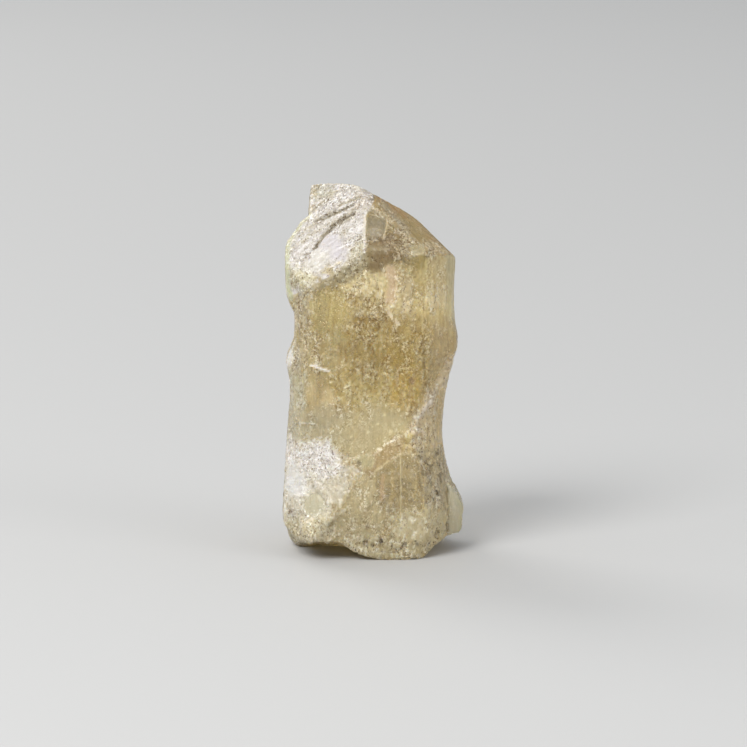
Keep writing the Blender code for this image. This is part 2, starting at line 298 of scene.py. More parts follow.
def chips(p, seed=0, tilt=1.0):
    """Flat, randomly tilted chips: one plane per cell, so the surface looks broken and not wavy."""
    cell = np.floor(p).astype(np.int64)
    best = np.full(len(p), 1e9)
    height = np.zeros(len(p))
    edge = np.full(len(p), 1e9)
    for dx in (-1, 0, 1):
        for dy in (-1, 0, 1):
            for dz in (-1, 0, 1):
                ix, iy, iz = cell[:, 0] + dx, cell[:, 1] + dy, cell[:, 2] + dz
                q = np.stack([ix + hashed(ix, iy, iz, seed), iy + hashed(ix, iy, iz, seed + 1),
                              iz + hashed(ix, iy, iz, seed + 2)], axis=1)
                d = p - q
                away = np.sqrt((d * d).sum(axis=1))
                slope = (d[:, 0] * (hashed(ix, iy, iz, seed + 3) - 0.5) + d[:, 1] * (hashed(ix, iy, iz, seed + 4) - 0.5)
                         + d[:, 2] * (hashed(ix, iy, iz, seed + 5) - 0.5)) * 2.0 * tilt
                level = slope + 0.5 * (hashed(ix, iy, iz, seed + 6) - 0.5)
                nearer = away < best
                edge = np.where(nearer, best - away, np.minimum(edge, away - best))
                height = np.where(nearer, level, height)
                best = np.where(nearer, away, best)
    return height, np.clip(edge, 0.0, 1.0)


# ------------------------------------------------------------------------------------------------ grid points
starts, directions = grid_rays(COLUMNS, BOTTOM_ROWS, SIDE_ROWS, TOP_ROWS)
ROWS = BOTTOM_ROWS + SIDE_ROWS + TOP_ROWS
pole_starts = np.array(((AXIS_X, 0.0, AXIS_LOW), (AXIS_X, 0.0, AXIS_HIGH)))
pole_directions = np.array(((0.0, 0.0, -1.0), (0.0, 0.0, 1.0)))
base = meet_surface(np.concatenate([starts, pole_starts]), np.concatenate([directions, pole_directions]))
normal = surface_normals(base)
X, Y, Z = base[:, 0], base[:, 1], base[:, 2]
NX, NY, NZ = normal[:, 0], normal[:, 1], normal[:, 2]

# front map: where each point falls on a picture of the front face, in pixels of a 747-pixel frame
shifted = base - np.array((OFFSET[0], OFFSET[1], 0.0)) - np.array(CAM_TARGET)
depth = CAM_DISTANCE + shifted[:, 1] * math.cos(CAM_ELEVATION) - shifted[:, 2] * math.sin(CAM_ELEVATION)
PU = 373.5 + FOCAL_PX * shifted[:, 0] / depth
PV = 373.5 - FOCAL_PX * (shifted[:, 2] * math.cos(CAM_ELEVATION) + shifted[:, 1] * math.sin(CAM_ELEVATION)) / depth
TOWARD = -NY * math.cos(CAM_ELEVATION) + NZ * math.sin(CAM_ELEVATION)
FRONT = ease((TOWARD - 0.02) / 0.14)
TOPSIDE = ease((NZ - 0.15) / 0.25)
PRISM = 1.0 - ease((np.abs(NZ) - 0.22) / 0.25)

# ------------------------------------------------------------------------------------------------ paint helpers (front map)
wobble_u = 4.0 * fractal(base * 0.55, 11) + 2.4 * fractal(base * 1.9, 12) + 1.4 * value_noise(base * 6.0, 15)
wobble_v = 4.0 * fractal(base * 0.55, 13) + 2.4 * fractal(base * 1.9, 14) + 1.4 * value_noise(base * 6.0, 16)


ragged = 1.0 * fractal(base * 1.6, 17, 4, 0.6) + 0.35 * value_noise(base * 7.0, 18)
FRONT = ease((TOWARD + 0.16 * ragged - 0.03) / 0.14)        # its edge wanders, so the patches do not stop on a line


def torn(m, amount):
    """Breaks a soft mask's edge up into patches."""
    if amount == 0.0:
        return m
    return np.clip((m - 0.5) * (1.0 + 0.2 * amount) + 0.5 + amount * ragged * 3.6 * m * (1.0 - m), 0.0, 1.0)


def blob(u, v, ru, rv, angle=0.0, soft=0.9, wobble=1.3, tear=0.7, front=True):
    """A soft-edged ellipse on the front map, with a natural outline."""
    a = math.radians(angle)
    du = PU + wobble * wobble_u - u
    dv = PV + wobble * wobble_v - v
    s = (du * math.cos(a) + dv * math.sin(a)) / ru
    t = (-du * math.sin(a) + dv * math.cos(a)) / rv
    m = torn(ease((1.0 - np.sqrt(s * s + t * t)) / soft + 0.5), tear)
    return m * FRONT if front else m


def line(points, width, soft=1.0, wobble=0.3, front=True):
    """A soft stroke along the points of the front map; width is its half width."""
    u = PU + wobble * wobble_u
    v = PV + wobble * wobble_v
    best = np.full(len(u), 1e9)
    for (u0, v0), (u1, v1) in zip(points[:-1], points[1:]):
        du, dv = u1 - u0, v1 - v0
        t = np.clip(((u - u0) * du + (v - v0) * dv) / (du * du + dv * dv), 0.0, 1.0)
        best = np.minimum(best, np.hypot(u - u0 - t * du, v - v0 - t * dv))
    m = ease((width - best) / (soft * width) + 0.5)
    return m * FRONT if front else m


def area(points, soft=4.0, wobble=1.0, tear=0.7, front=True):
    """A soft-edged polygon on the front map."""
    u = PU + wobble * wobble_u
    v = PV + wobble * wobble_v
    inside = np.zeros(len(u), bool)
    best = np.full(len(u), 1e9)
    for (u0, v0), (u1, v1) in zip(points, points[1:] + points[:1]):
        crosses = (v0 > v) != (v1 > v)
        at = u0 + (v - v0) / (v1 - v0 if v1 != v0 else 1e-9) * (u1 - u0)
        inside ^= crosses & (u < at)
        du, dv = u1 - u0, v1 - v0
        t = np.clip(((u - u0) * du + (v - v0) * dv) / (du * du + dv * dv), 0.0, 1.0)
        best = np.minimum(best, np.hypot(u - u0 - t * du, v - v0 - t * dv))
    m = torn(ease(0.5 + np.where(inside, best, -best) / soft), tear)
    return m * FRONT if front else m


def step_across(points, run, wobble=0.3):
    """1 on the left of a line of points (walking along it), 0 on the right, over a short run, near the line only."""
    u = PU + wobble * wobble_u
    v = PV + wobble * wobble_v
    best = np.full(len(u), 1e9)
    side = np.zeros(len(u))
    for (u0, v0), (u1, v1) in zip(points[:-1], points[1:]):
        du, dv = u1 - u0, v1 - v0
        t = np.clip(((u - u0) * du + (v - v0) * dv) / (du * du + dv * dv), 0.0, 1.0)
        away = np.hypot(u - u0 - t * du, v - v0 - t * dv)
        sign = np.sign(dv * (u - u0) - du * (v - v0))
        nearer = away < best
        best = np.where(nearer, away, best)
        side = np.where(nearer, sign, side)
    reach = ease(1.0 - (best - 3.0 * run) / (9.0 * run))
    return (ease(0.5 + side * best / run) - 0.5) * reach * FRONT


def rgb(r, g, b):
    """sRGB bytes to linear values."""
    c = np.array((r, g, b)) / 255.0
    return np.where(c <= 0.04045, c / 12.92, ((c + 0.055) / 1.055) ** 2.4)


def mix(a, b, t):
    if a.ndim == 2:
        t = t[:, None]
    return a + (b - a) * np.clip(t, 0.0, 1.0)


LAYERS = {
    "tint": np.repeat(rgb(196, 174, 130)[None, :], len(base), axis=0),
    "frost": np.full(len(base), 0.22),      # white, finely broken skin
    "etch": np.full(len(base), 0.85),       # how strongly the skin is pitted and speckled
    "cloud": np.full(len(base), 0.30),      # milky just below the skin
    # dark: dirt and dark grains, also darker towards the bottom
    "dark": np.zeros(len(base)),            # dirt and dark grains
    # dark pits: partly dark grains, partly painted shade in the pits
    "dark_grain_and_shade": np.zeros(len(base)),           # more dark pits than the etching alone gives
    # bright grains: partly real pale grains, partly painted glints
    "grain_glint": np.zeros(len(base)),           # more bright grains
    "matte": np.zeros(len(base)),           # duller than the rest
}


def put(mask, tint=None, frost=None, etch=None, cloud=None, dark=None, dark_grain_and_shade=None, grain_glint=None, matte=None):
    for name, value in (("tint", tint), ("frost", frost), ("etch", etch), ("cloud", cloud), ("dark", dark),
                        ("dark_grain_and_shade", dark_grain_and_shade), ("grain_glint", grain_glint), ("matte", matte)):
        if value is not None:
            LAYERS[name] = mix(LAYERS[name], rgb(*value) if name == "tint" else value, mask)


# ------------------------------------------------------------------------------------------------ regions
BACKSIDE = 1.0 - FRONT
patches = fractal(base * np.array((0.40, 0.40, 0.22)), 21)
patches_fine = fractal(base * np.array((1.1, 1.1, 0.7)), 22)
swirl = np.stack([fractal(base * 0.5 + 5.0, 201), fractal(base * 0.5 + 9.0, 202), fractal(base * 0.5 + 13.0, 203)], axis=1)
turned = (base + 2.2 * swirl) @ np.array(((0.79, 0.48, 0.38), (-0.61, 0.59, 0.52), (0.02, -0.65, 0.76)))
patches_back = fractal(turned * np.array((0.42, 0.42, 0.30)), 21, 5, 0.55) + 0.06 * value_noise(base * 5.0, 24)
across = np.where(np.abs(NY) > np.abs(NX), X, Y + 40.0)
bands = value_noise(np.stack([across * 1.1, Z * 0.09, across * 0.0], axis=1), 23)

# all round: paler and darker growth bands, milky and clear patches
put(ease(0.5 + 1.2 * patches_fine), tint=(216, 192, 136), frost=0.22)
put(ease(0.9 * bands) * PRISM, tint=(186, 156, 94))
put(ease(3.0 * patches_back + 0.20) * BACKSIDE * PRISM, tint=(222, 195, 132), frost=0.0, etch=0.12, cloud=0.06, dark_grain_and_shade=-0.03,
    grain_glint=-0.03)
put(ease(3.0 * patches_fine - 0.30) * BACKSIDE * PRISM, etch=1.15, dark_grain_and_shade=0.20, grain_glint=0.30)
put(ease(2.6 * fractal(turned * 0.34, 31, 5, 0.55) - 0.45) * BACKSIDE, tint=(230, 220, 196), frost=0.55, etch=1.0)
put(ease((NZ - 0.35) / 0.3) * BACKSIDE * ease(0.9 + 1.4 * patches), tint=(226, 216, 196), frost=0.60, etch=1.0)
put(ease((2.4 + 1.2 * patches_fine - Z) / 1.2) * BACKSIDE, tint=(206, 192, 158), frost=0.35, etch=1.0)
put(ease(2.2 * fractal(turned * 0.45, 32) - 0.35) * BACKSIDE, tint=(204, 158, 84), frost=0.02)
# the shell-like breaks round the back and sides are smooth and glassy
shells = np.zeros(len(base))
shell_rings = np.zeros(len(base))
for (cx, cy, cz), _, width, _ in BITES[3:]:
    away = np.sqrt((X - cx) ** 2 + (Y - cy) ** 2 + (Z - cz) ** 2) + 0.30 * patches_fine
    inside = ease((0.86 * width - away - 0.45 * ragged) / 0.8)
    shells = np.maximum(shells, inside)
    from_rim = np.sqrt((X - cx) ** 2 + (Y - cy) ** 2 + (Z - cz - 0.9 * width) ** 2)
    shell_rings = shell_rings + inside * np.sin(4.6 * from_rim + 1.5 * patches_fine)
put(shells, tint=(208, 180, 116), frost=0.02, etch=0.12, cloud=0.10, dark_grain_and_shade=-0.03, grain_glint=-0.03)

# centre and right of the front, above the middle
put(area([(338, 260), (398, 260), (404, 318), (384, 322), (352, 326), (336, 300)], 22.0, 1.6), tint=(247, 225, 170),
    frost=0.45, etch=1.15, cloud=0.40, dark_grain_and_shade=0.06, grain_glint=0.50)
put(line([(391, 262), (390.5, 298)], 6.0, 1.4, 0.6), tint=(232, 204, 160), frost=0.30, etch=0.35, cloud=0.55)
put(area([(422, 252), (456, 252), (458, 332), (440, 338), (422, 322), (416, 290)], 20.0, 1.6), tint=(232, 209, 152),
    frost=0.18, etch=0.50, cloud=0.60)
put(area([(428, 257), (455, 257), (457, 288), (430, 288)], 8.0, 1.2), tint=(242, 218, 164), frost=0.20, etch=0.55, cloud=0.64)
put(blob(436, 298, 13, 14, 0, 1.0), tint=(244, 222, 174), frost=0.40, etch=0.75, cloud=0.70, grain_glint=0.2)
put(line([(450, 258), (451.5, 290), (451, 325)], 4.0, 1.4, 0.4), tint=(216, 210, 168), frost=0.10, etch=0.10, cloud=0.60)
put(area([(399, 272), (414, 276), (416, 312), (401, 314)], 7.0, 1.4), tint=(228, 203, 156), frost=0.38, etch=1.35, dark_grain_and_shade=0.22, grain_glint=0.55)
put(area([(352, 316), (388, 314), (392, 334), (352, 338)], 16.0, 1.8), tint=(124, 86, 40), frost=0.02, etch=1.15,
    cloud=0.30, dark_grain_and_shade=0.30, grain_glint=0.25)
put(area([(386, 320), (428, 316), (432, 354), (388, 352)], 20.0, 2.0), tint=(142, 109, 60), frost=0.05, etch=0.95,
    cloud=0.30, dark_grain_and_shade=0.15, grain_glint=0.20)
put(area([(426, 322), (460, 318), (460, 350), (452, 372), (426, 368)], 18.0, 1.6), tint=(176, 150, 109), frost=0.10,
    etch=0.50, cloud=0.46, grain_glint=0.1)
put(area([(344, 292), (384, 296), (386, 316), (348, 318)], 12.0, 2.0), tint=(200, 172, 116), frost=0.16, etch=1.15,
    grain_glint=0.45, dark_grain_and_shade=0.22)
put(line([(387, 311), (391, 316), (398, 324)], 1.6, 0.9, 0.15), tint=(250, 232, 200), frost=0.95, etch=0.4)

# the left of the front
put(area([(292, 294), (313, 290), (312, 326), (294, 328)], 7.0, 1.4), tint=(216, 199, 164), frost=0.38, etch=1.25, dark_grain_and_shade=0.35, grain_glint=0.40)
put(area([(310, 300), (316, 288), (326, 279), (335, 276), (341, 282), (345, 298), (347, 320), (345, 338), (336, 346),
          (320, 342), (311, 328)], 13.0, 1.4), tint=(216, 196, 132), frost=0.04, etch=0.30, cloud=0.30)
put(blob(328, 285, 9, 7, -30), tint=(184, 158, 100), frost=0.02, etch=0.5)
put(area([(303, 334), (330, 332), (329, 362), (305, 364)], 8.0, 1.4), tint=(210, 184, 126), frost=0.30, etch=1.2, dark_grain_and_shade=0.20, grain_glint=0.60)
put(area([(334, 351), (347, 349), (347, 372), (335, 374)], 6.0, 1.0), tint=(204, 176, 124), frost=0.12, etch=0.25,
    cloud=0.45)
put(area([(284, 340), (298, 338), (304, 350), (302, 366), (298, 376), (284, 374)], 7.0, 1.4), tint=(213, 203, 184),
    frost=0.46, etch=1.20, dark_grain_and_shade=0.20, grain_glint=0.40)
put(area([(282, 350), (290, 345), (293.5, 354), (292, 366), (290, 374), (282, 374)], 3.0, 0.6), tint=(236, 235, 230),
    frost=0.86, etch=0.5, dark_grain_and_shade=-0.15)

# golden middle
put(area([(345, 332), (428, 334), (430, 376), (400, 388), (346, 384)], 30.0, 2.6), tint=(184, 150, 72), frost=0.09,
    etch=1.15, cloud=0.24, dark_grain_and_shade=0.36, grain_glint=0.38)
put(area([(330, 374), (394, 372), (398, 418), (334, 414)], 30.0, 3.0), tint=(218, 188, 107), frost=0.21, etch=1.10, dark_grain_and_shade=0.12, grain_glint=0.58)
put(blob(407, 387, 16, 27, 10, 1.0, 1.6), tint=(236, 188, 70), frost=0.12, etch=1.15, cloud=0.30, grain_glint=0.45)
put(blob(400, 360, 15, 11, 0, 1.0, 1.6), tint=(190, 148, 54), frost=0.05, etch=1.1, dark_grain_and_shade=0.25, grain_glint=0.3)
for points in ([(404, 372), (402, 404)], [(411, 378), (409, 404)], [(398, 366), (397, 388)]):
    put(line(points, 1.4, 1.4, 0.3), tint=(206, 152, 62), frost=0.0, etch=0.7)
put(blob(412.5, 380.5, 3.0, 3.6, 0, 0.8, 0.4), tint=(150, 100, 56), frost=0.0, etch=0.4, dark=0.25)

# mottling of the golden body, drawn out along the growth direction
mottle = fractal(base * np.array((2.3, 2.3, 0.95)), 101, 3, 0.6)
mottle_fine = fractal(base * np.array((5.2, 5.2, 1.9)), 102, 2, 0.6)
body_zone = FRONT * PRISM * ease((Z - 7.0) / 2.5)
put(0.50 * body_zone * ease(2.6 * mottle - 0.15), tint=(160, 124, 62), frost=0.03)
put(0.45 * body_zone * ease(-2.6 * mottle - 0.15), tint=(230, 206, 146))
put(0.40 * body_zone * ease(2.8 * mottle_fine - 0.2), tint=(166, 130, 70))
put(0.35 * body_zone * ease(-2.8 * mottle_fine - 0.2), tint=(236, 214, 160))
put(0.85 * line([(391, 262), (392, 280), (390.5, 300)], 4.6, 1.3, 0.9), tint=(223, 190, 168), frost=0.28, etch=0.30,
    cloud=0.60, dark_grain_and_shade=-0.06, grain_glint=-0.04)

# windows and pale, milky part below the middle
put(area([(284, 370), (306, 372), (306, 438), (284, 444)], 7.0, 1.2), tint=(208, 200, 170), frost=0.38, etch=1.15)
put(area([(306, 377), (317, 373), (327, 376), (330, 392), (327, 411), (308, 413), (305, 396)], 9.0, 1.2),
    tint=(221, 194, 144), frost=0.02, etch=0.16, cloud=0.36)
put(blob(328, 404, 8.5, 15, 6, 0.7, 0.7), tint=(222, 198, 158), frost=0.14, etch=0.16, cloud=0.58)
put(area([(299, 410), (352, 408), (354, 452), (300, 454)], 20.0, 1.8), tint=(196, 183, 150), frost=0.18, etch=0.45,
    cloud=0.58)
put(line([(299, 423), (307, 422.6), (315, 423.3)], 0.8, 0.9, 0.1), tint=(236, 230, 208), frost=0.7)
put(area([(344, 414), (372, 404), (404, 402), (410, 430), (400, 438), (380, 449), (360, 457), (342, 444)], 34.0, 2.8),
    tint=(208, 190, 142), frost=0.20, etch=0.55, cloud=0.58, grain_glint=0.10)
put(area([(350, 424), (376, 416), (400, 414), (404, 430), (396, 439), (380, 447), (360, 455), (348, 444)], 16.0, 2.2),
    tint=(200, 184, 144), frost=0.16, etch=0.20, cloud=0.70, dark_grain_and_shade=-0.04, grain_glint=-0.04)
for u, v, size in ((360, 421, 1.8), (368, 432, 1.5), (391, 433, 1.9), (378, 424, 1.3), (385, 415, 1.6), (352, 436, 1.4)):
    put(blob(u, v, size, size, 0, 0.9, 0.4), tint=(232, 216, 174), frost=0.50)

# right edge of the front below the middle: a frosty diagonal ridge and the waist beside it
put(area([(432, 384), (454, 366), (448, 400), (448, 452), (416, 454), (412, 442), (420, 418)], 9.0, 1.4),
    tint=(230, 205, 160), frost=0.30, etch=1.15, cloud=0.46, dark_grain_and_shade=0.15, grain_glint=0.50)
put(line([(452, 360), (440, 385), (428, 402), (418, 420), (411, 440)], 5.6, 1.3, 1.0), tint=(232, 208, 170), frost=0.46,
    etch=1.2, grain_glint=0.45)
put(line([(443, 392), (441.5, 420), (443, 452)], 4.0, 1.2, 0.4), tint=(216, 188, 136), frost=0.05, etch=0.25, cloud=0.50)
put(line([(430, 398), (424, 408), (419, 417)], 1.1, 0.9, 0.2), tint=(250, 234, 208), frost=0.95)
put(line([(434, 391), (427, 409)], 0.8, 0.9, 0.2), tint=(244, 226, 198), frost=0.8)
put(line([(410, 436), (406, 443), (401, 449)], 3.0, 1.2, 0.5), tint=(224, 198, 120), frost=0.36, etch=0.9)

# frosty broken face low on the left
put(area([(278, 446), (303, 434), (330, 444), (354, 461), (359, 475), (352, 488), (346, 500), (336, 515), (322, 529),
          (300, 542), (278, 530), (276, 490)], 24.0, 2.8), tint=(226, 217, 198), frost=0.56, etch=0.95, cloud=0.55, dark_grain_and_shade=0.0, grain_glint=0.20)
put(area([(284, 520), (330, 516), (341, 530), (330, 541), (305, 546), (288, 540)], 9.0, 1.2), tint=(236, 222, 182),
    frost=0.44, etch=1.15, dark_grain_and_shade=0.20, grain_glint=0.50)
put(area([(284, 443), (304, 438), (325, 441), (345, 457), (350, 470), (318, 474), (298, 470), (284, 468)], 26.0, 3.4),
    tint=(249, 243, 237), frost=0.80, etch=1.05, dark_grain_and_shade=0.18, grain_glint=0.25)
put(blob(296, 482, 12, 16, 0, 1.3, 1.4), tint=(234, 232, 227), frost=0.88, etch=0.40, dark_grain_and_shade=-0.14)
put(blob(336, 489, 10, 16, 24, 1.2, 1.2), tint=(220, 210, 186), frost=0.70, etch=0.50, dark_grain_and_shade=-0.08)
put(blob(314, 505, 11.5, 12, 0, 0.5, 0.6), tint=(204, 197, 176), frost=0.36, etch=0.16, cloud=0.75)

# below: the smooth arch and what lies round it
put(area([(360, 474), (378, 472), (386, 530), (352, 546), (328, 540), (341, 516), (352, 494)], 14.0, 1.6),
    tint=(224, 207, 162), frost=0.20, etch=0.70, grain_glint=0.2)
put(area([(364, 456), (382, 449), (404, 437), (405, 453), (389, 462), (378, 472), (364, 474)], 6.0, 0.7),
    tint=(179, 151, 110), frost=0.14, etch=0.40, cloud=0.50)
put(blob(366, 461, 7, 8, 0, 0.6, 0.5), tint=(208, 196, 154), frost=0.10, etch=0.20, cloud=0.58)
put(area([(375, 474), (382, 466), (391, 460), (400, 456), (408, 454.5), (417, 457), (424, 466), (426, 490), (422, 514),
          (384, 514)], 8.0, 1.2), tint=(156, 139, 109), frost=0.03, etch=0.42, cloud=0.26)
put(area([(418, 450), (446, 446), (450, 508), (431, 516), (423, 500), (424, 468)], 6.0, 1.0), tint=(208, 190, 152), frost=0.30, etch=1.30,
    dark=0.07, dark_grain_and_shade=0.70, grain_glint=1.10)
put(area([(388, 510), (446, 508), (447, 534), (436, 542), (392, 544)], 16.0, 1.6), tint=(230, 214, 168), frost=0.30, etch=0.90, dark_grain_and_shade=0.05, grain_glint=0.40)
put(line([(400.6, 457), (400.6, 520)], 0.8, 0.9, 0.08), tint=(222, 206, 164), frost=0.45, etch=0.2)
put(line([(383, 476), (381.5, 500)], 1.8, 1.4, 0.4), tint=(212, 174, 138), frost=0.15)
put(line([(392, 470), (391, 505)], 1.4, 1.4, 0.4), tint=(200, 174, 126))
put(line([(416, 472), (415, 500)], 1.4, 1.4, 0.4), tint=(200, 178, 128))
for u, v, size in ((413, 521, 3.0), (402.5, 524.5, 2.0), (414, 533.5, 2.4), (405, 515, 1.5), (343, 512, 2.2)):
    put(blob(u, v, size, size * 0.8, 0, 0.8, 0.4), tint=(250, 240, 208), frost=0.92)
put(area([(342, 546), (362, 536), (440, 536), (441, 562), (342, 562)], 7.0, 1.2), tint=(232, 216, 168), frost=0.28, etch=1.25, dark=0.12, dark_grain_and_shade=0.10, grain_glint=0.45)
put(area([(448.5, 484), (456, 488), (468, 502), (466, 530), (449, 538)], 2.0, 0.2), tint=(222, 217, 200), frost=0.14,
    etch=0.08, cloud=0.60)
put(line([(459, 500), (462.5, 510), (461, 530)], 2.4, 1.2, 0.2), tint=(212, 212, 182), frost=0.10, etch=0.05, cloud=0.6)
put(line([(448, 486), (448.3, 508), (448, 532)], 1.0, 0.9, 0.15), tint=(150, 134, 102), frost=0.0, dark=0.30)

# top right: smooth window, brown growth lines, frosty pits, the long slope
put(area([(366, 186), (400, 206), (430, 230), (456, 252), (428, 258), (400, 266), (366, 266)], 6.0, 0.6),
    tint=(162, 139, 96), frost=0.06, etch=0.65)
put(area([(366, 217), (385, 217), (386, 250), (376, 253), (366, 253)], 3.0, 0.4), tint=(130, 118, 104), frost=0.02,
    etch=0.14, cloud=0.30, dark_grain_and_shade=0.0)
put(blob(374, 231, 8, 5, 0, 0.8, 0.4), tint=(176, 164, 156), frost=0.12, etch=0.10)
put(blob(379, 210, 8, 7, 0, 1.0, 0.8), tint=(200, 180, 154), frost=0.22, etch=0.7)
put(area([(367, 242), (386, 234), (398, 232), (402, 250), (402, 262), (386, 268), (368, 266)], 13.0, 2.0), tint=(121, 92, 57),
    frost=0.0, etch=0.85, cloud=0.35, dark_grain_and_shade=0.60, matte=0.4)
put(blob(390, 247, 8, 14, 0, 1.1, 0.8), tint=(112, 84, 52), frost=0.0, etch=0.7, dark_grain_and_shade=0.45)
put(blob(370, 250, 5, 10, 0, 1.2, 0.8), tint=(140, 116, 82), frost=0.04, etch=0.9, dark_grain_and_shade=0.7)
put(line([(377, 203.5), (383, 209), (386.2, 215), (386.8, 227), (383.4, 238)], 0.9, 1.2, 0.2), tint=(214, 192, 156),
    frost=0.40, etch=0.3)
put(area([(395, 226), (407, 229), (412, 242), (411, 255), (398, 257)], 5.0, 1.0), tint=(142, 114, 72), frost=0.08,
    etch=1.3, dark_grain_and_shade=0.45, grain_glint=1.50)
# the long slope: darker amber, partly the body's tone, partly painted shade for the dark surroundings it reflects at a
# glancing view
slope_tone_and_shade = area([(372, 188), (400, 203), (430, 224), (458, 250), (448, 253), (428, 243), (414, 235), (403, 225),
                   (390, 217), (374, 205)], 3.0, 0.4, 0.4)
slope_tone_and_shade = np.maximum(slope_tone_and_shade, ease((NX - 0.30) / 0.2) * ease((NZ - 0.45) / 0.2) * ease((Z - 23.6) / 0.5))
put(slope_tone_and_shade, tint=(143, 106, 48), frost=0.0, etch=0.55, cloud=0.70, matte=1.0)
# the same darker amber round the right side of the slope, partly painted shade
side_slope = ease((NX - 0.05) / 0.30) * ease((NZ - 0.20) / 0.25)
put(side_slope * ease(0.75 + 1.4 * patches_fine) * ease((Z - 24.5) / 1.6), tint=(168, 130, 72), frost=0.0, etch=0.55,
    cloud=0.70, matte=1.0)
put(side_slope * ease(1.5 * fractal(base * 0.8, 35) - 0.1) * 0.6, tint=(186, 160, 106), frost=0.10, etch=0.8)
# darkest amber strips on the slope, partly painted shade
put(area([(376, 194), (392, 203), (408, 216), (404, 222), (394, 217), (382, 208)], 5.0, 0.6), tint=(146, 93, 28),
    frost=0.0, etch=0.30, cloud=0.80, matte=1.0)
put(area([(398, 212), (420, 228), (432, 240), (424, 244), (408, 232), (400, 224)], 6.0, 0.8), tint=(146, 116, 56),
    frost=0.0, etch=0.40, cloud=0.60, matte=1.0)
put(area([(425, 238), (440, 243), (452, 252), (448, 257), (428, 254)], 5.0, 0.9), tint=(176, 149, 104), frost=0.12,
    etch=1.1, grain_glint=0.5)
put(line([(383, 204), (391, 212), (398, 221), (405, 232), (410, 242)], 4.0, 1.5, 1.0), tint=(170, 142, 98), frost=0.12,
    etch=1.2, cloud=0.35, grain_glint=0.90, matte=0.2)
put(area([(410, 244), (425, 244), (425, 253), (410, 253)], 2.4, 0.5), tint=(170, 156, 130), frost=0.10, etch=0.12)
put(area([(410, 255), (427, 255), (427, 268), (412, 268)], 4.0, 0.7), tint=(171, 147, 88), frost=0.02, etch=0.16)
put(line([(408, 254), (428, 254)], 0.7, 0.9, 0.08), tint=(220, 202, 164), frost=0.40)

# bright slanted face, top left
white_face = area([(300, 172), (372, 186), (374, 200), (366, 213), (365, 219), (365.3, 252.5), (351, 262), (336, 272),
                   (323, 279), (313, 286), (298, 293), (284, 300), (280, 262), (284, 246), (300, 222), (309, 214),
                   (306, 190)], 2.2, 0.22, 0.3)
put(area([(367, 250), (368, 268), (350, 278), (337, 286), (318, 290), (300, 297), (300, 288), (324, 276), (346, 261)],
         9.0, 1.2), tint=(160, 144, 112), frost=0.19, etch=1.30, dark_grain_and_shade=0.66, grain_glint=0.85)
lower_border = line([(366, 250), (351, 261), (336, 270), (323, 277), (313, 284), (298, 292)], 6.5, 1.6, 0.8)
white_face = white_face * (1.0 - lower_border * ease(0.30 + 1.7 * fractal(base * 2.2, 37)))
put(white_face, tint=(203, 196, 190), frost=0.77, etch=1.0, cloud=0.6, dark_grain_and_shade=0.14, grain_glint=0.0)
slant = np.stack([((PU - 330) * 0.84 - (PV - 235) * 0.54) * 0.035, ((PU - 330) * 0.54 + (PV - 235) * 0.84) * 0.22,
                  PU * 0.0], axis=1)
slant_lines = value_noise(slant, 91) + 0.6 * value_noise(slant * 2.3, 92)
put(white_face * ease(0.9 * slant_lines), tint=(190, 179, 166), frost=0.55, etch=1.2, dark_grain_and_shade=0.35)
put(white_face * ease(-1.3 * slant_lines - 0.3), tint=(226, 220, 215), frost=0.90, etch=0.7)
put(blob(333, 248, 13, 15, -30, 1.3, 1.4), tint=(203, 197, 199), frost=0.90, etch=0.36, dark_grain_and_shade=-0.08)
put(blob(318, 262, 16, 8, -28, 1.2, 1.4), tint=(214, 209, 199), frost=0.86, etch=0.50, dark_grain_and_shade=-0.08)
put(area([(366, 236), (367, 255), (352, 265), (338, 271), (346, 258), (356, 246)], 9.0, 1.0), tint=(198, 188, 164),
    frost=0.54, etch=1.2, dark_grain_and_shade=0.42, grain_glint=0.30)
put(blob(300, 279, 12, 11, 0, 1.2, 1.0), tint=(206, 196, 164), frost=0.42, etch=1.1, dark_grain_and_shade=0.40, grain_glint=0.25)
put(blob(362, 201, 10, 10, 0, 0.9, 0.6), tint=(204, 193, 187), frost=0.60, etch=1.1, dark_grain_and_shade=0.30)
put(blob(321, 190, 10, 10, 0, 1.1, 0.8), tint=(189, 182, 171), frost=0.52, etch=1.2, dark_grain_and_shade=0.32)
put(blob(315, 188, 3.0, 8.0, 12, 0.9, 0.5), tint=(184, 168, 146), frost=0.30, etch=0.7)
put(blob(331, 193, 3.2, 2.6, 0, 0.9, 0.5), tint=(176, 163, 142), frost=0.25, etch=1.1, dark_grain_and_shade=0.4)
put(line([(352, 205), (341, 209.5), (329, 214), (317, 219.5)], 1.7, 1.4, 0.6), tint=(116, 102, 88), frost=0.16,
    etch=1.25, dark_grain_and_shade=0.75)
put(line([(353, 214), (345, 217.5), (333, 226), (323, 236), (315, 248)], 1.7, 1.2, 0.6),
    tint=(114, 100, 87), frost=0.14, etch=1.25, dark_grain_and_shade=0.75)
put(line([(360, 197), (350, 200), (338, 205)], 1.5, 1.2, 0.4), tint=(182, 169, 152), frost=0.4, etch=1.15, dark_grain_and_shade=0.6)
put(line([(364.4, 216), (364.4, 252)], 1.0, 0.9, 0.06), tint=(220, 211, 202), frost=0.75, etch=0.5)
put(line([(288, 243), (286.3, 262), (287, 285), (291, 298)], 2.4, 1.2, 0.2), tint=(204, 211, 192), frost=0.30, etch=0.25)
put(line([(309, 215), (301, 221), (294, 233), (288.5, 243)], 2.4, 1.2, 0.2), tint=(202, 202, 182), frost=0.32, etch=0.4)

# the light outline of the arch
put(line([(360, 489), (367, 479), (375, 471), (388, 461), (400, 456), (408, 454), (417, 457), (424, 464)], 1.1, 1.4, 0.5),
    tint=(226, 206, 164), frost=0.26)

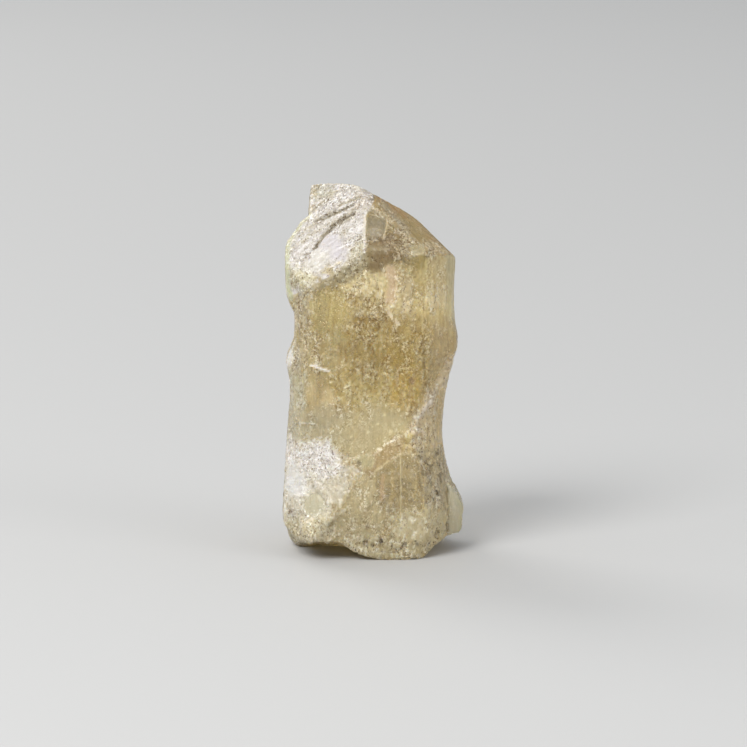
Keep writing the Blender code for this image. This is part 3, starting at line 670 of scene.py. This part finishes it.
# white scratch, brown and black grains
put(line([(310.5, 365), (319, 367.8), (328.6, 371)], 1.3, 0.8, 0.15), tint=(255, 245, 236), frost=1.0, etch=0.1,
    cloud=0.9, dark_grain_and_shade=-0.3)
for u, v, ru, rv, angle in ((407, 466, 1.5, 2.0, 0), (360, 463, 1.4, 2.4, -35), (430, 468, 1.2, 3.0, 50),
                            (368, 527, 1.8, 2.2, 0), (438, 531, 1.8, 2.2, 0), (421, 549, 2.2, 1.8, 0),
                            (396, 551, 3.0, 1.5, 0), (404, 543.5, 1.8, 1.3, 0), (411, 543.5, 1.6, 1.2, 0),
                            (417, 543.5, 1.8, 1.2, 0), (427, 459, 1.4, 1.2, 0),
                            (438, 453, 1.2, 1.8, 20), (434, 463, 1.6, 1.1, -30),
                            (381, 540, 2.6, 4.5, 0), (366, 542, 3.0, 3.2, 0), (373, 545, 2.0, 2.0, 0)):
    put(blob(u, v, ru, rv, angle, 0.9, 0.3), tint=(84, 68, 44), frost=0.0, dark=1.0)
for stroke in ([(424.5, 461.5), (428, 466), (431, 470)], [(430, 466.5), (434, 464)], [(419, 455), (422, 458.5)],
               [(438, 462), (439.5, 468)], [(441, 474), (441.6, 483)], [(436.5, 489), (437.4, 494)],
               [(429, 479), (430.6, 485)], [(426, 473), (427.4, 476)], [(433, 499), (434, 503)],
               [(422, 470), (423, 474)], [(434, 456), (436.5, 458)], [(443, 459), (443.6, 466)], [(431, 491), (430.4, 495)],
               [(400, 545), (401.4, 548)], [(391, 543), (392, 546)], [(425, 544), (427.4, 545)], [(430, 540), (431, 543)]):
    put(line(stroke, 0.7, 1.3, 0.6), tint=(86, 72, 50), frost=0.0, dark=0.75)
put(blob(291, 511, 3.4, 1.5, 12, 0.8, 0.2), tint=(134, 88, 54), frost=0.0, dark=0.5)
# dark spots where the dark grains lie, and darker towards the bottom, within about 1.6 mm of the floor
dark_spots = ease((value_noise(base * np.array((4.6, 4.6, 3.2)), 36) - 0.42) / 0.18)
put(dark_spots * np.clip(LAYERS["dark"] * 1.2 + 0.25 * ease((1.6 - Z) / 1.0), 0, 1), tint=(104, 86, 58), dark=0.7)


# ------------------------------------------------------------------------------------------------ fine shape
etch, frost = LAYERS["etch"], LAYERS["frost"]
facing = np.where(np.abs(NY) > np.abs(NX), 3.0, 9.0)
stretched = np.stack([across * 2.6, facing, Z * 0.16], axis=1)
striation = value_noise(stretched, 41) + 0.6 * value_noise(stretched * np.array((2.1, 1.0, 1.6)), 42)
striation_fine = value_noise(stretched * np.array((3.7, 1.0, 3.0)), 43)
lumps = fractal(base * np.array((1.9, 1.9, 1.3)), 44, 4, 0.55)
broken, broken_edge = chips(base * np.array((1.15, 1.15, 0.9)), 51, 0.9)
broken_small, small_edge = chips(base * 2.9, 61, 0.9)
pits = ease((value_noise(base * 3.4, 47) - 0.30) / 0.35)
lower_break = ease((8.2 + 1.6 * fractal(base * 0.5, 71) - Z) / 1.4)
top_break = ease((Z - 24.5) / 1.5) * BACKSIDE
terraces = white_face * (0.045 * slant_lines + 0.02 * value_noise(slant * 5.1, 93))

height = np.zeros(len(base))
height += PRISM * (1.0 - 0.65 * lower_break) * (0.036 * striation + 0.018 * striation_fine) * (0.5 + 0.5 * etch)
height += 0.045 * etch * lumps
height += (0.09 * lower_break + 0.05 * top_break + 0.015) * broken * (0.30 + 0.70 * etch)
height += (0.034 * lower_break + 0.020 * etch) * broken_small
height -= 0.030 * etch * etch * pits * (1.0 - 0.6 * white_face)
# terraces on the bright slanted face
for points, width, deep in (
    ([(352, 205), (341, 209.5), (329, 214), (317, 219.5)], 1.7, 0.10),
    ([(353, 214), (345, 217.5), (333, 226), (323, 236), (316, 247)], 1.9, 0.11),
    ([(360, 197), (350, 200), (338, 205)], 1.3, 0.07),
    ([(364, 236), (352, 246), (340, 257), (328, 266)], 1.2, 0.05),
):
    height -= deep * line(points, width, 1.4, 0.2)
# windows sit a little below the etched skin
for points, deep in (
    ([(311, 300), (316, 288), (326, 279), (335, 276.5), (341, 282), (345, 298), (347, 320), (345, 338), (336, 346),
      (320, 342), (311, 328)], 0.03),
    ([(306, 377), (317, 373), (327, 376), (330, 392), (327, 411), (308, 413), (305, 396)], 0.03),
    ([(366, 217), (385, 217), (386, 250), (376, 253), (366, 253)], 0.02),
):
    height -= deep * area(points, 5.0, 0.8)
# the edge below the bright face is chipped
under_edge = line([(365, 254), (351, 262.5), (336, 271.5), (323, 278.5), (313, 286), (298, 292.5)], 3.4, 1.6, 0.5)
height -= 0.12 * under_edge * ease(0.25 + 1.6 * fractal(base * 1.9, 95))
# ledges: the line across the right of the front, the diagonal above the arch, the arch itself
height += 0.06 * step_across([(452, 254), (428, 254), (408, 254)], 1.8, 0.2)
height += 0.11 * step_across([(404, 436), (382, 448.5), (363, 456)], 3.2, 0.5)
height += 0.05 * step_across([(299, 423), (315, 423)], 1.6, 0.2)
# cracks and ridges low on the front
height -= 0.10 * line([(313, 489), (320, 496), (326, 504), (332, 510)], 1.2, 1.3, 0.1)
height += 0.08 * line([(330, 522), (337, 513), (346, 500), (352, 488), (357, 474)], 2.0, 1.6, 0.3)
height += 0.12 * line([(452, 362), (440, 385), (428, 402), (418, 420), (411, 440)], 2.6, 1.8, 0.5)
height -= 0.14 * line([(448, 484), (448.3, 508), (448, 534)], 1.1, 1.4, 0.1)
height -= 0.07 * line([(400.6, 457), (400.6, 520)], 0.9, 1.4, 0.05)
height += 0.10 * line([(311, 366), (319, 368.3), (327, 371)], 1.3, 1.3, 0.1)
height += 0.06 * line([(385.4, 216), (385.4, 236)], 1.0, 1.4, 0.05)

height += terraces
height += 0.022 * shell_rings
height = height * ease(Z / 0.35)
points_mm = base + normal * height[:, None]
points_mm[:, 2] = np.maximum(points_mm[:, 2], 0.0)
points_mm[:, 0] -= OFFSET[0]
points_mm[:, 1] -= OFFSET[1]

# edges turn white: partly worn, chipped edges, partly a painted edge highlight; how sharply the surface turns, from the
# grid's own neighbours
grid = base[:-2].reshape(ROWS, COLUMNS, 3)
grid_normal = normal[:-2].reshape(ROWS, COLUMNS, 3)
turn = np.zeros((ROWS, COLUMNS))
for axis, step in ((0, 1), (0, -1), (1, 1), (1, -1)):
    other = np.roll(grid_normal, step, axis=axis)
    where = np.roll(grid, step, axis=axis)
    gap = np.maximum(np.linalg.norm(where - grid, axis=-1), 0.05)
    bend = np.sum((other - grid_normal) * (where - grid), axis=-1) / gap / gap
    if axis == 0:
        bend[0 if step == 1 else -1] = 0.0
    turn = np.maximum(turn, bend)
edge = ease((np.concatenate([turn.reshape(-1), (0.0, 0.0)]) - 0.25) / 1.4)
worn_and_highlit_edge = (0.60 - 0.35 * FRONT) * edge * ease(0.5 + 0.9 * fractal(base * 1.3, 81))
put(worn_and_highlit_edge * (1.0 - 0.85 * slope_tone_and_shade) * (1.0 - 0.9 * under_edge), tint=(232, 222, 198), frost=0.60)


# ------------------------------------------------------------------------------------------------ colour
colour = np.clip(LAYERS["tint"], 0.0, 0.95) * (1.0 - 0.26 * np.clip(LAYERS["frost"], 0.0, 1.0))[:, None]
golden = 0.22 + 0.13 * ease((Z - 11.5) / 2.0) * (1.0 - ease((PU - 424.0) / 12.0) * FRONT)
colour[:, 2] *= 1.0 - golden * (1.0 - np.clip(LAYERS["frost"] * 1.15, 0.0, 1.0))


# ------------------------------------------------------------------------------------------------ mesh
def build_mesh(name, points, rows, columns):
    quads = []
    index = np.arange(rows * columns).reshape(rows, columns)
    a = index[:-1]
    b = np.roll(index, -1, axis=1)[:-1]
    c = np.roll(index, -1, axis=1)[1:]
    d = index[1:]
    quads = np.stack([a, b, c, d], axis=-1).reshape(-1, 4)
    low, high = rows * columns, rows * columns + 1
    ring = np.arange(columns)
    after = np.roll(ring, -1)
    fan_low = np.stack([np.full(columns, low), after, ring], axis=1)
    top = (rows - 1) * columns
    fan_high = np.stack([np.full(columns, high), top + ring, top + after], axis=1)
    mesh = bpy.data.meshes.new(name)
    mesh.from_pydata((points * MM).tolist(), [], quads.tolist() + fan_low.tolist() + fan_high.tolist())
    mesh.update()
    mesh.shade_smooth()
    return mesh


def paint(mesh, name, values):
    values = np.asarray(values, np.float32)
    if values.ndim == 2:
        layer = mesh.attributes.new(name, "FLOAT_COLOR", "POINT")
        flat = np.ones((len(values), 4), np.float32)
        flat[:, :3] = values
        layer.data.foreach_set("color", flat.ravel())
    else:
        layer = mesh.attributes.new(name, "FLOAT", "POINT")
        layer.data.foreach_set("value", values)


crystal_mesh = build_mesh("crystal_body", points_mm, ROWS, COLUMNS)
paint(crystal_mesh, "tint", colour)
LAYERS["dark_grain_and_shade"] = 0.30 * LAYERS["etch"] + LAYERS["dark_grain_and_shade"]
LAYERS["grain_glint"] = 0.30 * LAYERS["etch"] + LAYERS["grain_glint"]
for name in ("frost", "etch", "cloud", "dark", "dark_grain_and_shade", "grain_glint", "matte"):
    paint(crystal_mesh, name, np.clip(LAYERS[name], 0.0, 1.3))
crystal = bpy.data.objects.new("crystal_body", crystal_mesh)
bpy.context.scene.collection.objects.link(crystal)

# ------------------------------------------------------------------------------------------------ material helpers
def node(tree, kind, x, y, **values):
    n = tree.nodes.new(kind)
    n.location = (x, y)
    for key, value in values.items():
        if key in n.inputs:
            n.inputs[key].default_value = value
        else:
            setattr(n, key, value)
    return n


def math_node(tree, operation, a, b=0.0, clamp=False):
    n = tree.nodes.new("ShaderNodeMath")
    n.operation = operation
    n.use_clamp = clamp
    for i, value in enumerate((a, b)):
        if isinstance(value, (int, float)):
            n.inputs[i].default_value = value
        else:
            tree.links.new(value, n.inputs[i])
    return n.outputs[0]


def map_range(tree, value, low, high, to_low=0.0, to_high=1.0, smooth=True):
    n = tree.nodes.new("ShaderNodeMapRange")
    n.interpolation_type = "SMOOTHSTEP" if smooth else "LINEAR"
    tree.links.new(value, n.inputs["Value"])
    for key, v in (("From Min", low), ("From Max", high), ("To Min", to_low), ("To Max", to_high)):
        if isinstance(v, (int, float)):
            n.inputs[key].default_value = v
        else:
            tree.links.new(v, n.inputs[key])
    return n.outputs["Result"]


def mix_colour(tree, factor, a, b, kind="MIX"):
    n = tree.nodes.new("ShaderNodeMix")
    n.data_type = "RGBA"
    n.blend_type = kind
    n.clamp_result = False
    for socket, value in ((n.inputs[0], factor), (n.inputs[6], a), (n.inputs[7], b)):
        if isinstance(value, (int, float)):
            socket.default_value = value
        elif isinstance(value, (tuple, list, np.ndarray)):
            socket.default_value = (float(value[0]), float(value[1]), float(value[2]), 1.0)
        else:
            tree.links.new(value, socket)
    return n.outputs[2]


def scaled(tree, coordinate, scale):
    n = tree.nodes.new("ShaderNodeMapping")
    n.inputs["Scale"].default_value = scale
    tree.links.new(coordinate, n.inputs["Vector"])
    return n.outputs["Vector"]


def noise_node(tree, vector, scale=1.0, detail=3.0, rough=0.55, distortion=0.0):
    n = tree.nodes.new("ShaderNodeTexNoise")
    n.inputs["Scale"].default_value = scale
    n.inputs["Detail"].default_value = detail
    n.inputs["Roughness"].default_value = rough
    n.inputs["Distortion"].default_value = distortion
    tree.links.new(vector, n.inputs["Vector"])
    return n.outputs["Fac"]


def attribute(tree, name, output="Fac"):
    n = tree.nodes.new("ShaderNodeAttribute")
    n.attribute_name = name
    return n.outputs[output]


# ------------------------------------------------------------------------------------------------ crystal material
def crystal_material():
    material = bpy.data.materials.new("scapolite")
    material.use_nodes = True
    tree = material.node_tree
    tree.nodes.clear()
    out = node(tree, "ShaderNodeOutputMaterial", 900, 0)
    shader = node(tree, "ShaderNodeBsdfPrincipled", 600, 0)
    tree.links.new(shader.outputs[0], out.inputs["Surface"])
    shader.inputs["IOR"].default_value = 1.56
    shader.inputs["Specular IOR Level"].default_value = 0.5
    shader.inputs["Subsurface Weight"].default_value = 0.20
    shader.inputs["Subsurface Radius"].default_value = (1.0, 0.75, 0.40)
    shader.inputs["Subsurface Scale"].default_value = 0.0006

    where = node(tree, "ShaderNodeTexCoord", -1400, 0).outputs["Object"]
    mm = scaled(tree, where, (1000.0, 1000.0, 1000.0))
    frost_in = attribute(tree, "frost")
    etch_in = attribute(tree, "etch")
    cloud_in = attribute(tree, "cloud")
    dark_in = attribute(tree, "dark")
    tint = attribute(tree, "tint", "Color")

    even_skin = math_node(tree, "MULTIPLY", frost_in, 1.3, clamp=True)
    grains = noise_node(tree, scaled(tree, mm, (1.0, 1.0, 0.75)), 3.4, 3.0, 0.62, 0.1)  # tufts of a few tenths of a mm

    def grit(scale, offset):
        """Grains, each with one random value from -1 to 1."""
        cells = tree.nodes.new("ShaderNodeTexVoronoi")
        cells.inputs["Scale"].default_value = scale
        shift = tree.nodes.new("ShaderNodeVectorMath")
        tree.links.new(scaled(tree, mm, (1.0, 1.0, 0.8)), shift.inputs[0])
        shift.inputs[1].default_value = (offset, offset, offset)
        tree.links.new(shift.outputs[0], cells.inputs["Vector"])
        parts = tree.nodes.new("ShaderNodeSeparateColor")
        tree.links.new(cells.outputs["Color"], parts.inputs[0])
        return math_node(tree, "SUBTRACT", math_node(tree, "MULTIPLY", parts.outputs[0], 2.0), 1.0)

    grit_large = grit(6.4, 3.0)
    grit_small = grit(11.0, 11.0)
    streaks = noise_node(tree, scaled(tree, where, (3200.0, 3200.0, 330.0)), 1.0, 4.0, 0.66, 0.3)
    blotches = noise_node(tree, mm, 0.9, 3.0, 0.6)
    hairs = noise_node(tree, scaled(tree, where, (7600.0, 7600.0, 360.0)), 1.0, 2.0, 0.5)  # fine straight growth lines
    hairs = math_node(tree, "SUBTRACT", map_range(tree, hairs, 0.57, 0.70), map_range(tree, hairs, 0.43, 0.30))
    hairs = math_node(tree, "MULTIPLY", hairs, math_node(tree, "SUBTRACT", 1.0, even_skin))
    hairs = math_node(tree, "MULTIPLY", hairs, map_range(tree, blotches, 0.42, 0.58, 0.15, 1.0))
    clusters = map_range(tree, noise_node(tree, scaled(tree, mm, (1.0, 1.0, 0.55)), 1.15, 3.0, 0.66, 0.7), 0.41, 0.60, 0.14, 2.15)
    even = math_node(tree, "MULTIPLY", frost_in, 0.75, clamp=True)
    clusters = math_node(tree, "ADD", math_node(tree, "MULTIPLY", clusters, math_node(tree, "SUBTRACT", 1.0, even)),
                         math_node(tree, "MULTIPLY", even, 0.95))

    # single bright grains, partly painted glints, and single dark pits, partly painted shade; a share of them switched
    # on by the painted amount
    warp = tree.nodes.new("ShaderNodeTexNoise")
    warp.inputs["Scale"].default_value = 5.0
    warp.inputs["Detail"].default_value = 1.0
    tree.links.new(mm, warp.inputs["Vector"])
    bent = tree.nodes.new("ShaderNodeVectorMath")
    bent.operation = "MULTIPLY_ADD"
    tree.links.new(warp.outputs["Color"], bent.inputs[0])
    bent.inputs[1].default_value = (0.34, 0.34, 0.34)
    tree.links.new(scaled(tree, mm, (1.0, 1.0, 0.8)), bent.inputs[2])

    def dots(scale, offset, share):
        cells = tree.nodes.new("ShaderNodeTexVoronoi")
        cells.inputs["Scale"].default_value = scale
        shift = tree.nodes.new("ShaderNodeVectorMath")
        tree.links.new(bent.outputs[0], shift.inputs[0])
        shift.inputs[1].default_value = (offset, offset, offset)
        tree.links.new(shift.outputs[0], cells.inputs["Vector"])
        pick = tree.nodes.new("ShaderNodeSeparateColor")
        tree.links.new(cells.outputs["Color"], pick.inputs[0])
        on = map_range(tree, math_node(tree, "SUBTRACT", share, pick.outputs[0]), 0.0, 0.10)
        reach = math_node(tree, "ADD", math_node(tree, "MULTIPLY", pick.outputs[1], 0.26), 0.26)
        near = map_range(tree, math_node(tree, "SUBTRACT", reach, cells.outputs["Distance"]), 0.0, 0.14)
        return math_node(tree, "MULTIPLY", on, near)

    # painted glints: bright grains that stand in for glints off tiny facets
    glint_share = math_node(tree, "MULTIPLY", attribute(tree, "grain_glint"), clusters)
    dark_grain_shade_share = math_node(tree, "MULTIPLY", attribute(tree, "dark_grain_and_shade"), clusters)
    grains_and_glints = math_node(tree, "MAXIMUM", dots(4.8, 5.0, math_node(tree, "MULTIPLY", glint_share, 0.55)),
                       math_node(tree, "MULTIPLY", dots(8.2, 21.0, glint_share), 0.95))
    # dark pits: partly dark grain tone, partly painted shade
    dark_grains_and_shade = math_node(tree, "MAXIMUM", dots(5.6, 33.0, math_node(tree, "MULTIPLY", dark_grain_shade_share, 0.45)),
                       math_node(tree, "MULTIPLY", dots(8.8, 47.0, dark_grain_shade_share), 0.9))
    black = dots(4.2, 61.0, math_node(tree, "MULTIPLY", dark_in, 0.8))

    # one signed signal: above zero the skin is bruised white, partly painted glints; below zero it is darker, partly
    # grain tone and partly painted shade, as if looking into the body
    signal = math_node(tree, "ADD", math_node(tree, "MULTIPLY", grit_large, 0.42), math_node(tree, "MULTIPLY", grit_small, 0.62))
    signal = math_node(tree, "ADD", signal, math_node(tree, "MULTIPLY", math_node(tree, "SUBTRACT", grains, 0.5), 2.4))
    signal = math_node(tree, "MULTIPLY", signal, math_node(tree, "MULTIPLY", etch_in, clusters))
    signal = math_node(tree, "ADD", signal, math_node(tree, "MULTIPLY", math_node(tree, "SUBTRACT", streaks, 0.5), 0.8))
    signal = math_node(tree, "ADD", signal, math_node(tree, "MULTIPLY", hairs, 0.36))
    lift = math_node(tree, "MAXIMUM", signal, 0.0)
    lift = math_node(tree, "ADD", math_node(tree, "MULTIPLY", lift, 0.75), math_node(tree, "MULTIPLY", grains_and_glints, 0.70))
    lift = math_node(tree, "MINIMUM", lift, 0.90)
    sink = math_node(tree, "MAXIMUM", math_node(tree, "MULTIPLY", signal, -1.0), 0.0)
    sink = math_node(tree, "MINIMUM", math_node(tree, "MULTIPLY", sink, 0.80), 0.85)
    sink = math_node(tree, "MULTIPLY", sink, math_node(tree, "SUBTRACT", 1.0, math_node(tree, "MULTIPLY", frost_in, 0.45)))

    milky = math_node(tree, "ADD", math_node(tree, "MULTIPLY", frost_in, 0.60), math_node(tree, "MULTIPLY", cloud_in, 0.42))
    milky = math_node(tree, "ADD", milky, math_node(tree, "MULTIPLY", lift, 0.35))
    milky = math_node(tree, "ADD", milky, math_node(tree, "MULTIPLY", dark_grains_and_shade, 0.40))
    milky = math_node(tree, "ADD", milky, math_node(tree, "MULTIPLY", black, 0.60))
    trans = math_node(tree, "SUBTRACT", 0.94, milky, clamp=True)
    tree.links.new(trans, shader.inputs["Transmission Weight"])

    light_tint = tree.nodes.new("ShaderNodeGamma")
    tree.links.new(tint, light_tint.inputs["Color"])
    light_tint.inputs["Gamma"].default_value = 0.34
    c = mix_colour(tree, lift, tint, light_tint.outputs["Color"])
    # darker copy of the tint for the sunken grains, partly painted shade
    deep = mix_colour(tree, 1.0, tint, tuple(rgb(160, 138, 100)), "MULTIPLY")
    c = mix_colour(tree, sink, c, deep)
    # the pits' colour: partly dark grain tone, partly painted shade
    grain_and_pit_shade_colour = mix_colour(tree, 1.0, tint, tuple(rgb(126, 102, 74)), "MULTIPLY")
    c = mix_colour(tree, math_node(tree, "MULTIPLY", dark_grains_and_shade, 0.72), c, grain_and_pit_shade_colour)
    c = mix_colour(tree, math_node(tree, "MULTIPLY", dark_in, 0.30), c, tuple(rgb(84, 70, 48)))
    c = mix_colour(tree, math_node(tree, "MULTIPLY", black, 0.88), c, tuple(rgb(66, 54, 38)))
    # where the skin is clear its own colour counts for less: the body's colour comes from its depth
    paler = tree.nodes.new("ShaderNodeGamma")
    tree.links.new(c, paler.inputs["Color"])
    tree.links.new(math_node(tree, "SUBTRACT", 1.0, math_node(tree, "MULTIPLY", trans, 0.55)), paler.inputs["Gamma"])
    tree.links.new(paler.outputs["Color"], shader.inputs["Base Color"])

    rough = math_node(tree, "ADD", math_node(tree, "MULTIPLY", etch_in, 0.13), math_node(tree, "MULTIPLY", frost_in, 0.24))
    rough = math_node(tree, "ADD", rough, math_node(tree, "MULTIPLY", blotches, 0.12))
    rough = math_node(tree, "ADD", rough, math_node(tree, "MULTIPLY", attribute(tree, "matte"), 0.35))
    rough = math_node(tree, "ADD", rough, 0.04, clamp=True)
    tree.links.new(rough, shader.inputs["Roughness"])

    # relief finer than the mesh: etch pits, tiny flat chips and growth lines
    tiny = tree.nodes.new("ShaderNodeTexVoronoi")
    tiny.inputs["Scale"].default_value = 4.5
    tree.links.new(mm, tiny.inputs["Vector"])
    away = tree.nodes.new("ShaderNodeVectorMath")
    away.operation = "SUBTRACT"
    tree.links.new(scaled(tree, mm, (4.5, 4.5, 4.5)), away.inputs[0])
    tree.links.new(scaled(tree, tiny.outputs["Position"], (4.5, 4.5, 4.5)), away.inputs[1])
    lean = tree.nodes.new("ShaderNodeVectorMath")
    lean.operation = "SUBTRACT"
    tree.links.new(tiny.outputs["Color"], lean.inputs[0])
    lean.inputs[1].default_value = (0.5, 0.5, 0.5)
    chip = tree.nodes.new("ShaderNodeVectorMath")
    chip.operation = "DOT_PRODUCT"
    tree.links.new(away.outputs[0], chip.inputs[0])
    tree.links.new(lean.outputs[0], chip.inputs[1])
    relief = math_node(tree, "MULTIPLY", chip.outputs["Value"], 1.3)
    relief = math_node(tree, "ADD", relief, math_node(tree, "MULTIPLY", grains, 1.0))
    relief = math_node(tree, "ADD", relief, math_node(tree, "MULTIPLY", grit_small, 0.12))
    relief = math_node(tree, "ADD", relief, math_node(tree, "MULTIPLY", grains_and_glints, 0.22))
    relief = math_node(tree, "SUBTRACT", relief, math_node(tree, "MULTIPLY", dark_grains_and_shade, 0.30))
    relief = math_node(tree, "MULTIPLY", relief, math_node(tree, "ADD", math_node(tree, "MULTIPLY", etch_in, 0.9), 0.08))
    relief = math_node(tree, "ADD", relief, math_node(tree, "MULTIPLY", streaks, 0.35))
    relief = math_node(tree, "ADD", relief, math_node(tree, "MULTIPLY", hairs, 0.10))
    bump = tree.nodes.new("ShaderNodeBump")
    bump.inputs["Strength"].default_value = 0.8
    bump.inputs["Distance"].default_value = 0.00012
    tree.links.new(relief, bump.inputs["Height"])
    tree.links.new(bump.outputs["Normal"], shader.inputs["Normal"])

    absorb = node(tree, "ShaderNodeVolumeAbsorption", 600, -400)
    absorb.inputs["Color"].default_value = (0.94, 0.80, 0.36, 1.0)
    absorb.inputs["Density"].default_value = 95.0
    tree.links.new(absorb.outputs[0], out.inputs["Volume"])
    return material


crystal_mesh.materials.append(crystal_material())
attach(crystal, "root")
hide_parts("scapolite_crystal")

# ------------------------------------------------------------------------------------------------ floor, light
def floor_material():
    material = bpy.data.materials.new("pale_floor")
    material.use_nodes = True
    shader = material.node_tree.nodes["Principled BSDF"]
    shader.inputs["Base Color"].default_value = (0.40, 0.40, 0.398, 1.0)
    shader.inputs["Roughness"].default_value = 0.65
    shader.inputs["Specular IOR Level"].default_value = 0.25
    return material


floor_mesh = bpy.data.meshes.new("floor")
floor_mesh.from_pydata([(-4, -4, 0), (4, -4, 0), (4, 4, 0), (-4, 4, 0)], [], [(0, 1, 2, 3)])
floor_mesh.materials.append(floor_material())
floor = bpy.data.objects.new("floor", floor_mesh)
floor.location.z = -0.00002
bpy.context.scene.collection.objects.link(floor)


def area_light(name, place, size, power, colour=(1.0, 1.0, 1.0)):
    data = bpy.data.lights.new(name, "AREA")
    data.shape = "DISK"
    data.size = size
    data.energy = power
    data.color = colour
    lamp = bpy.data.objects.new(name, data)
    lamp.location = place
    lamp.rotation_euler = (Vector((0.0, 0.0, 0.015)) - lamp.location).to_track_quat("-Z", "Y").to_euler()
    bpy.context.scene.collection.objects.link(lamp)
    return lamp


area_light("key", (-0.25, -0.36, 0.40), 0.30, 3.50, (1.0, 0.985, 0.965))
area_light("fill", (0.40, -0.28, 0.22), 0.30, 0.65, (1.0, 0.98, 0.95))
area_light("back", (-0.30, 0.40, 0.36), 0.34, 1.62, (1.0, 0.98, 0.95))

# a plain studio: bright overhead, dimmer towards the horizon
world = bpy.data.worlds.new("studio")
bpy.context.scene.world = world
world.use_nodes = True
sky = world.node_tree
direction = sky.nodes.new("ShaderNodeTexCoord").outputs["Generated"]
parts = sky.nodes.new("ShaderNodeSeparateXYZ")
sky.links.new(direction, parts.inputs[0])
glow = map_range(sky, parts.outputs["Z"], -0.05, 0.75, 0.22, 1.05)
sky.nodes["Background"].inputs[0].default_value = (0.80, 0.82, 0.84, 1.0)
sky.links.new(glow, sky.nodes["Background"].inputs[1])

scene = bpy.context.scene
scene.cycles.use_denoising = True
scene.cycles.max_bounces = 12
scene.cycles.transmission_bounces = 11
scene.cycles.diffuse_bounces = 3
scene.cycles.glossy_bounces = 6
scene.cycles.caustics_reflective = False
scene.cycles.caustics_refractive = True
scene.cycles.blur_glossy = 1.0
scene.cycles.sample_clamp_indirect = 3.0
scene.view_settings.view_transform = "Standard"

bpy.context.view_layer.update()
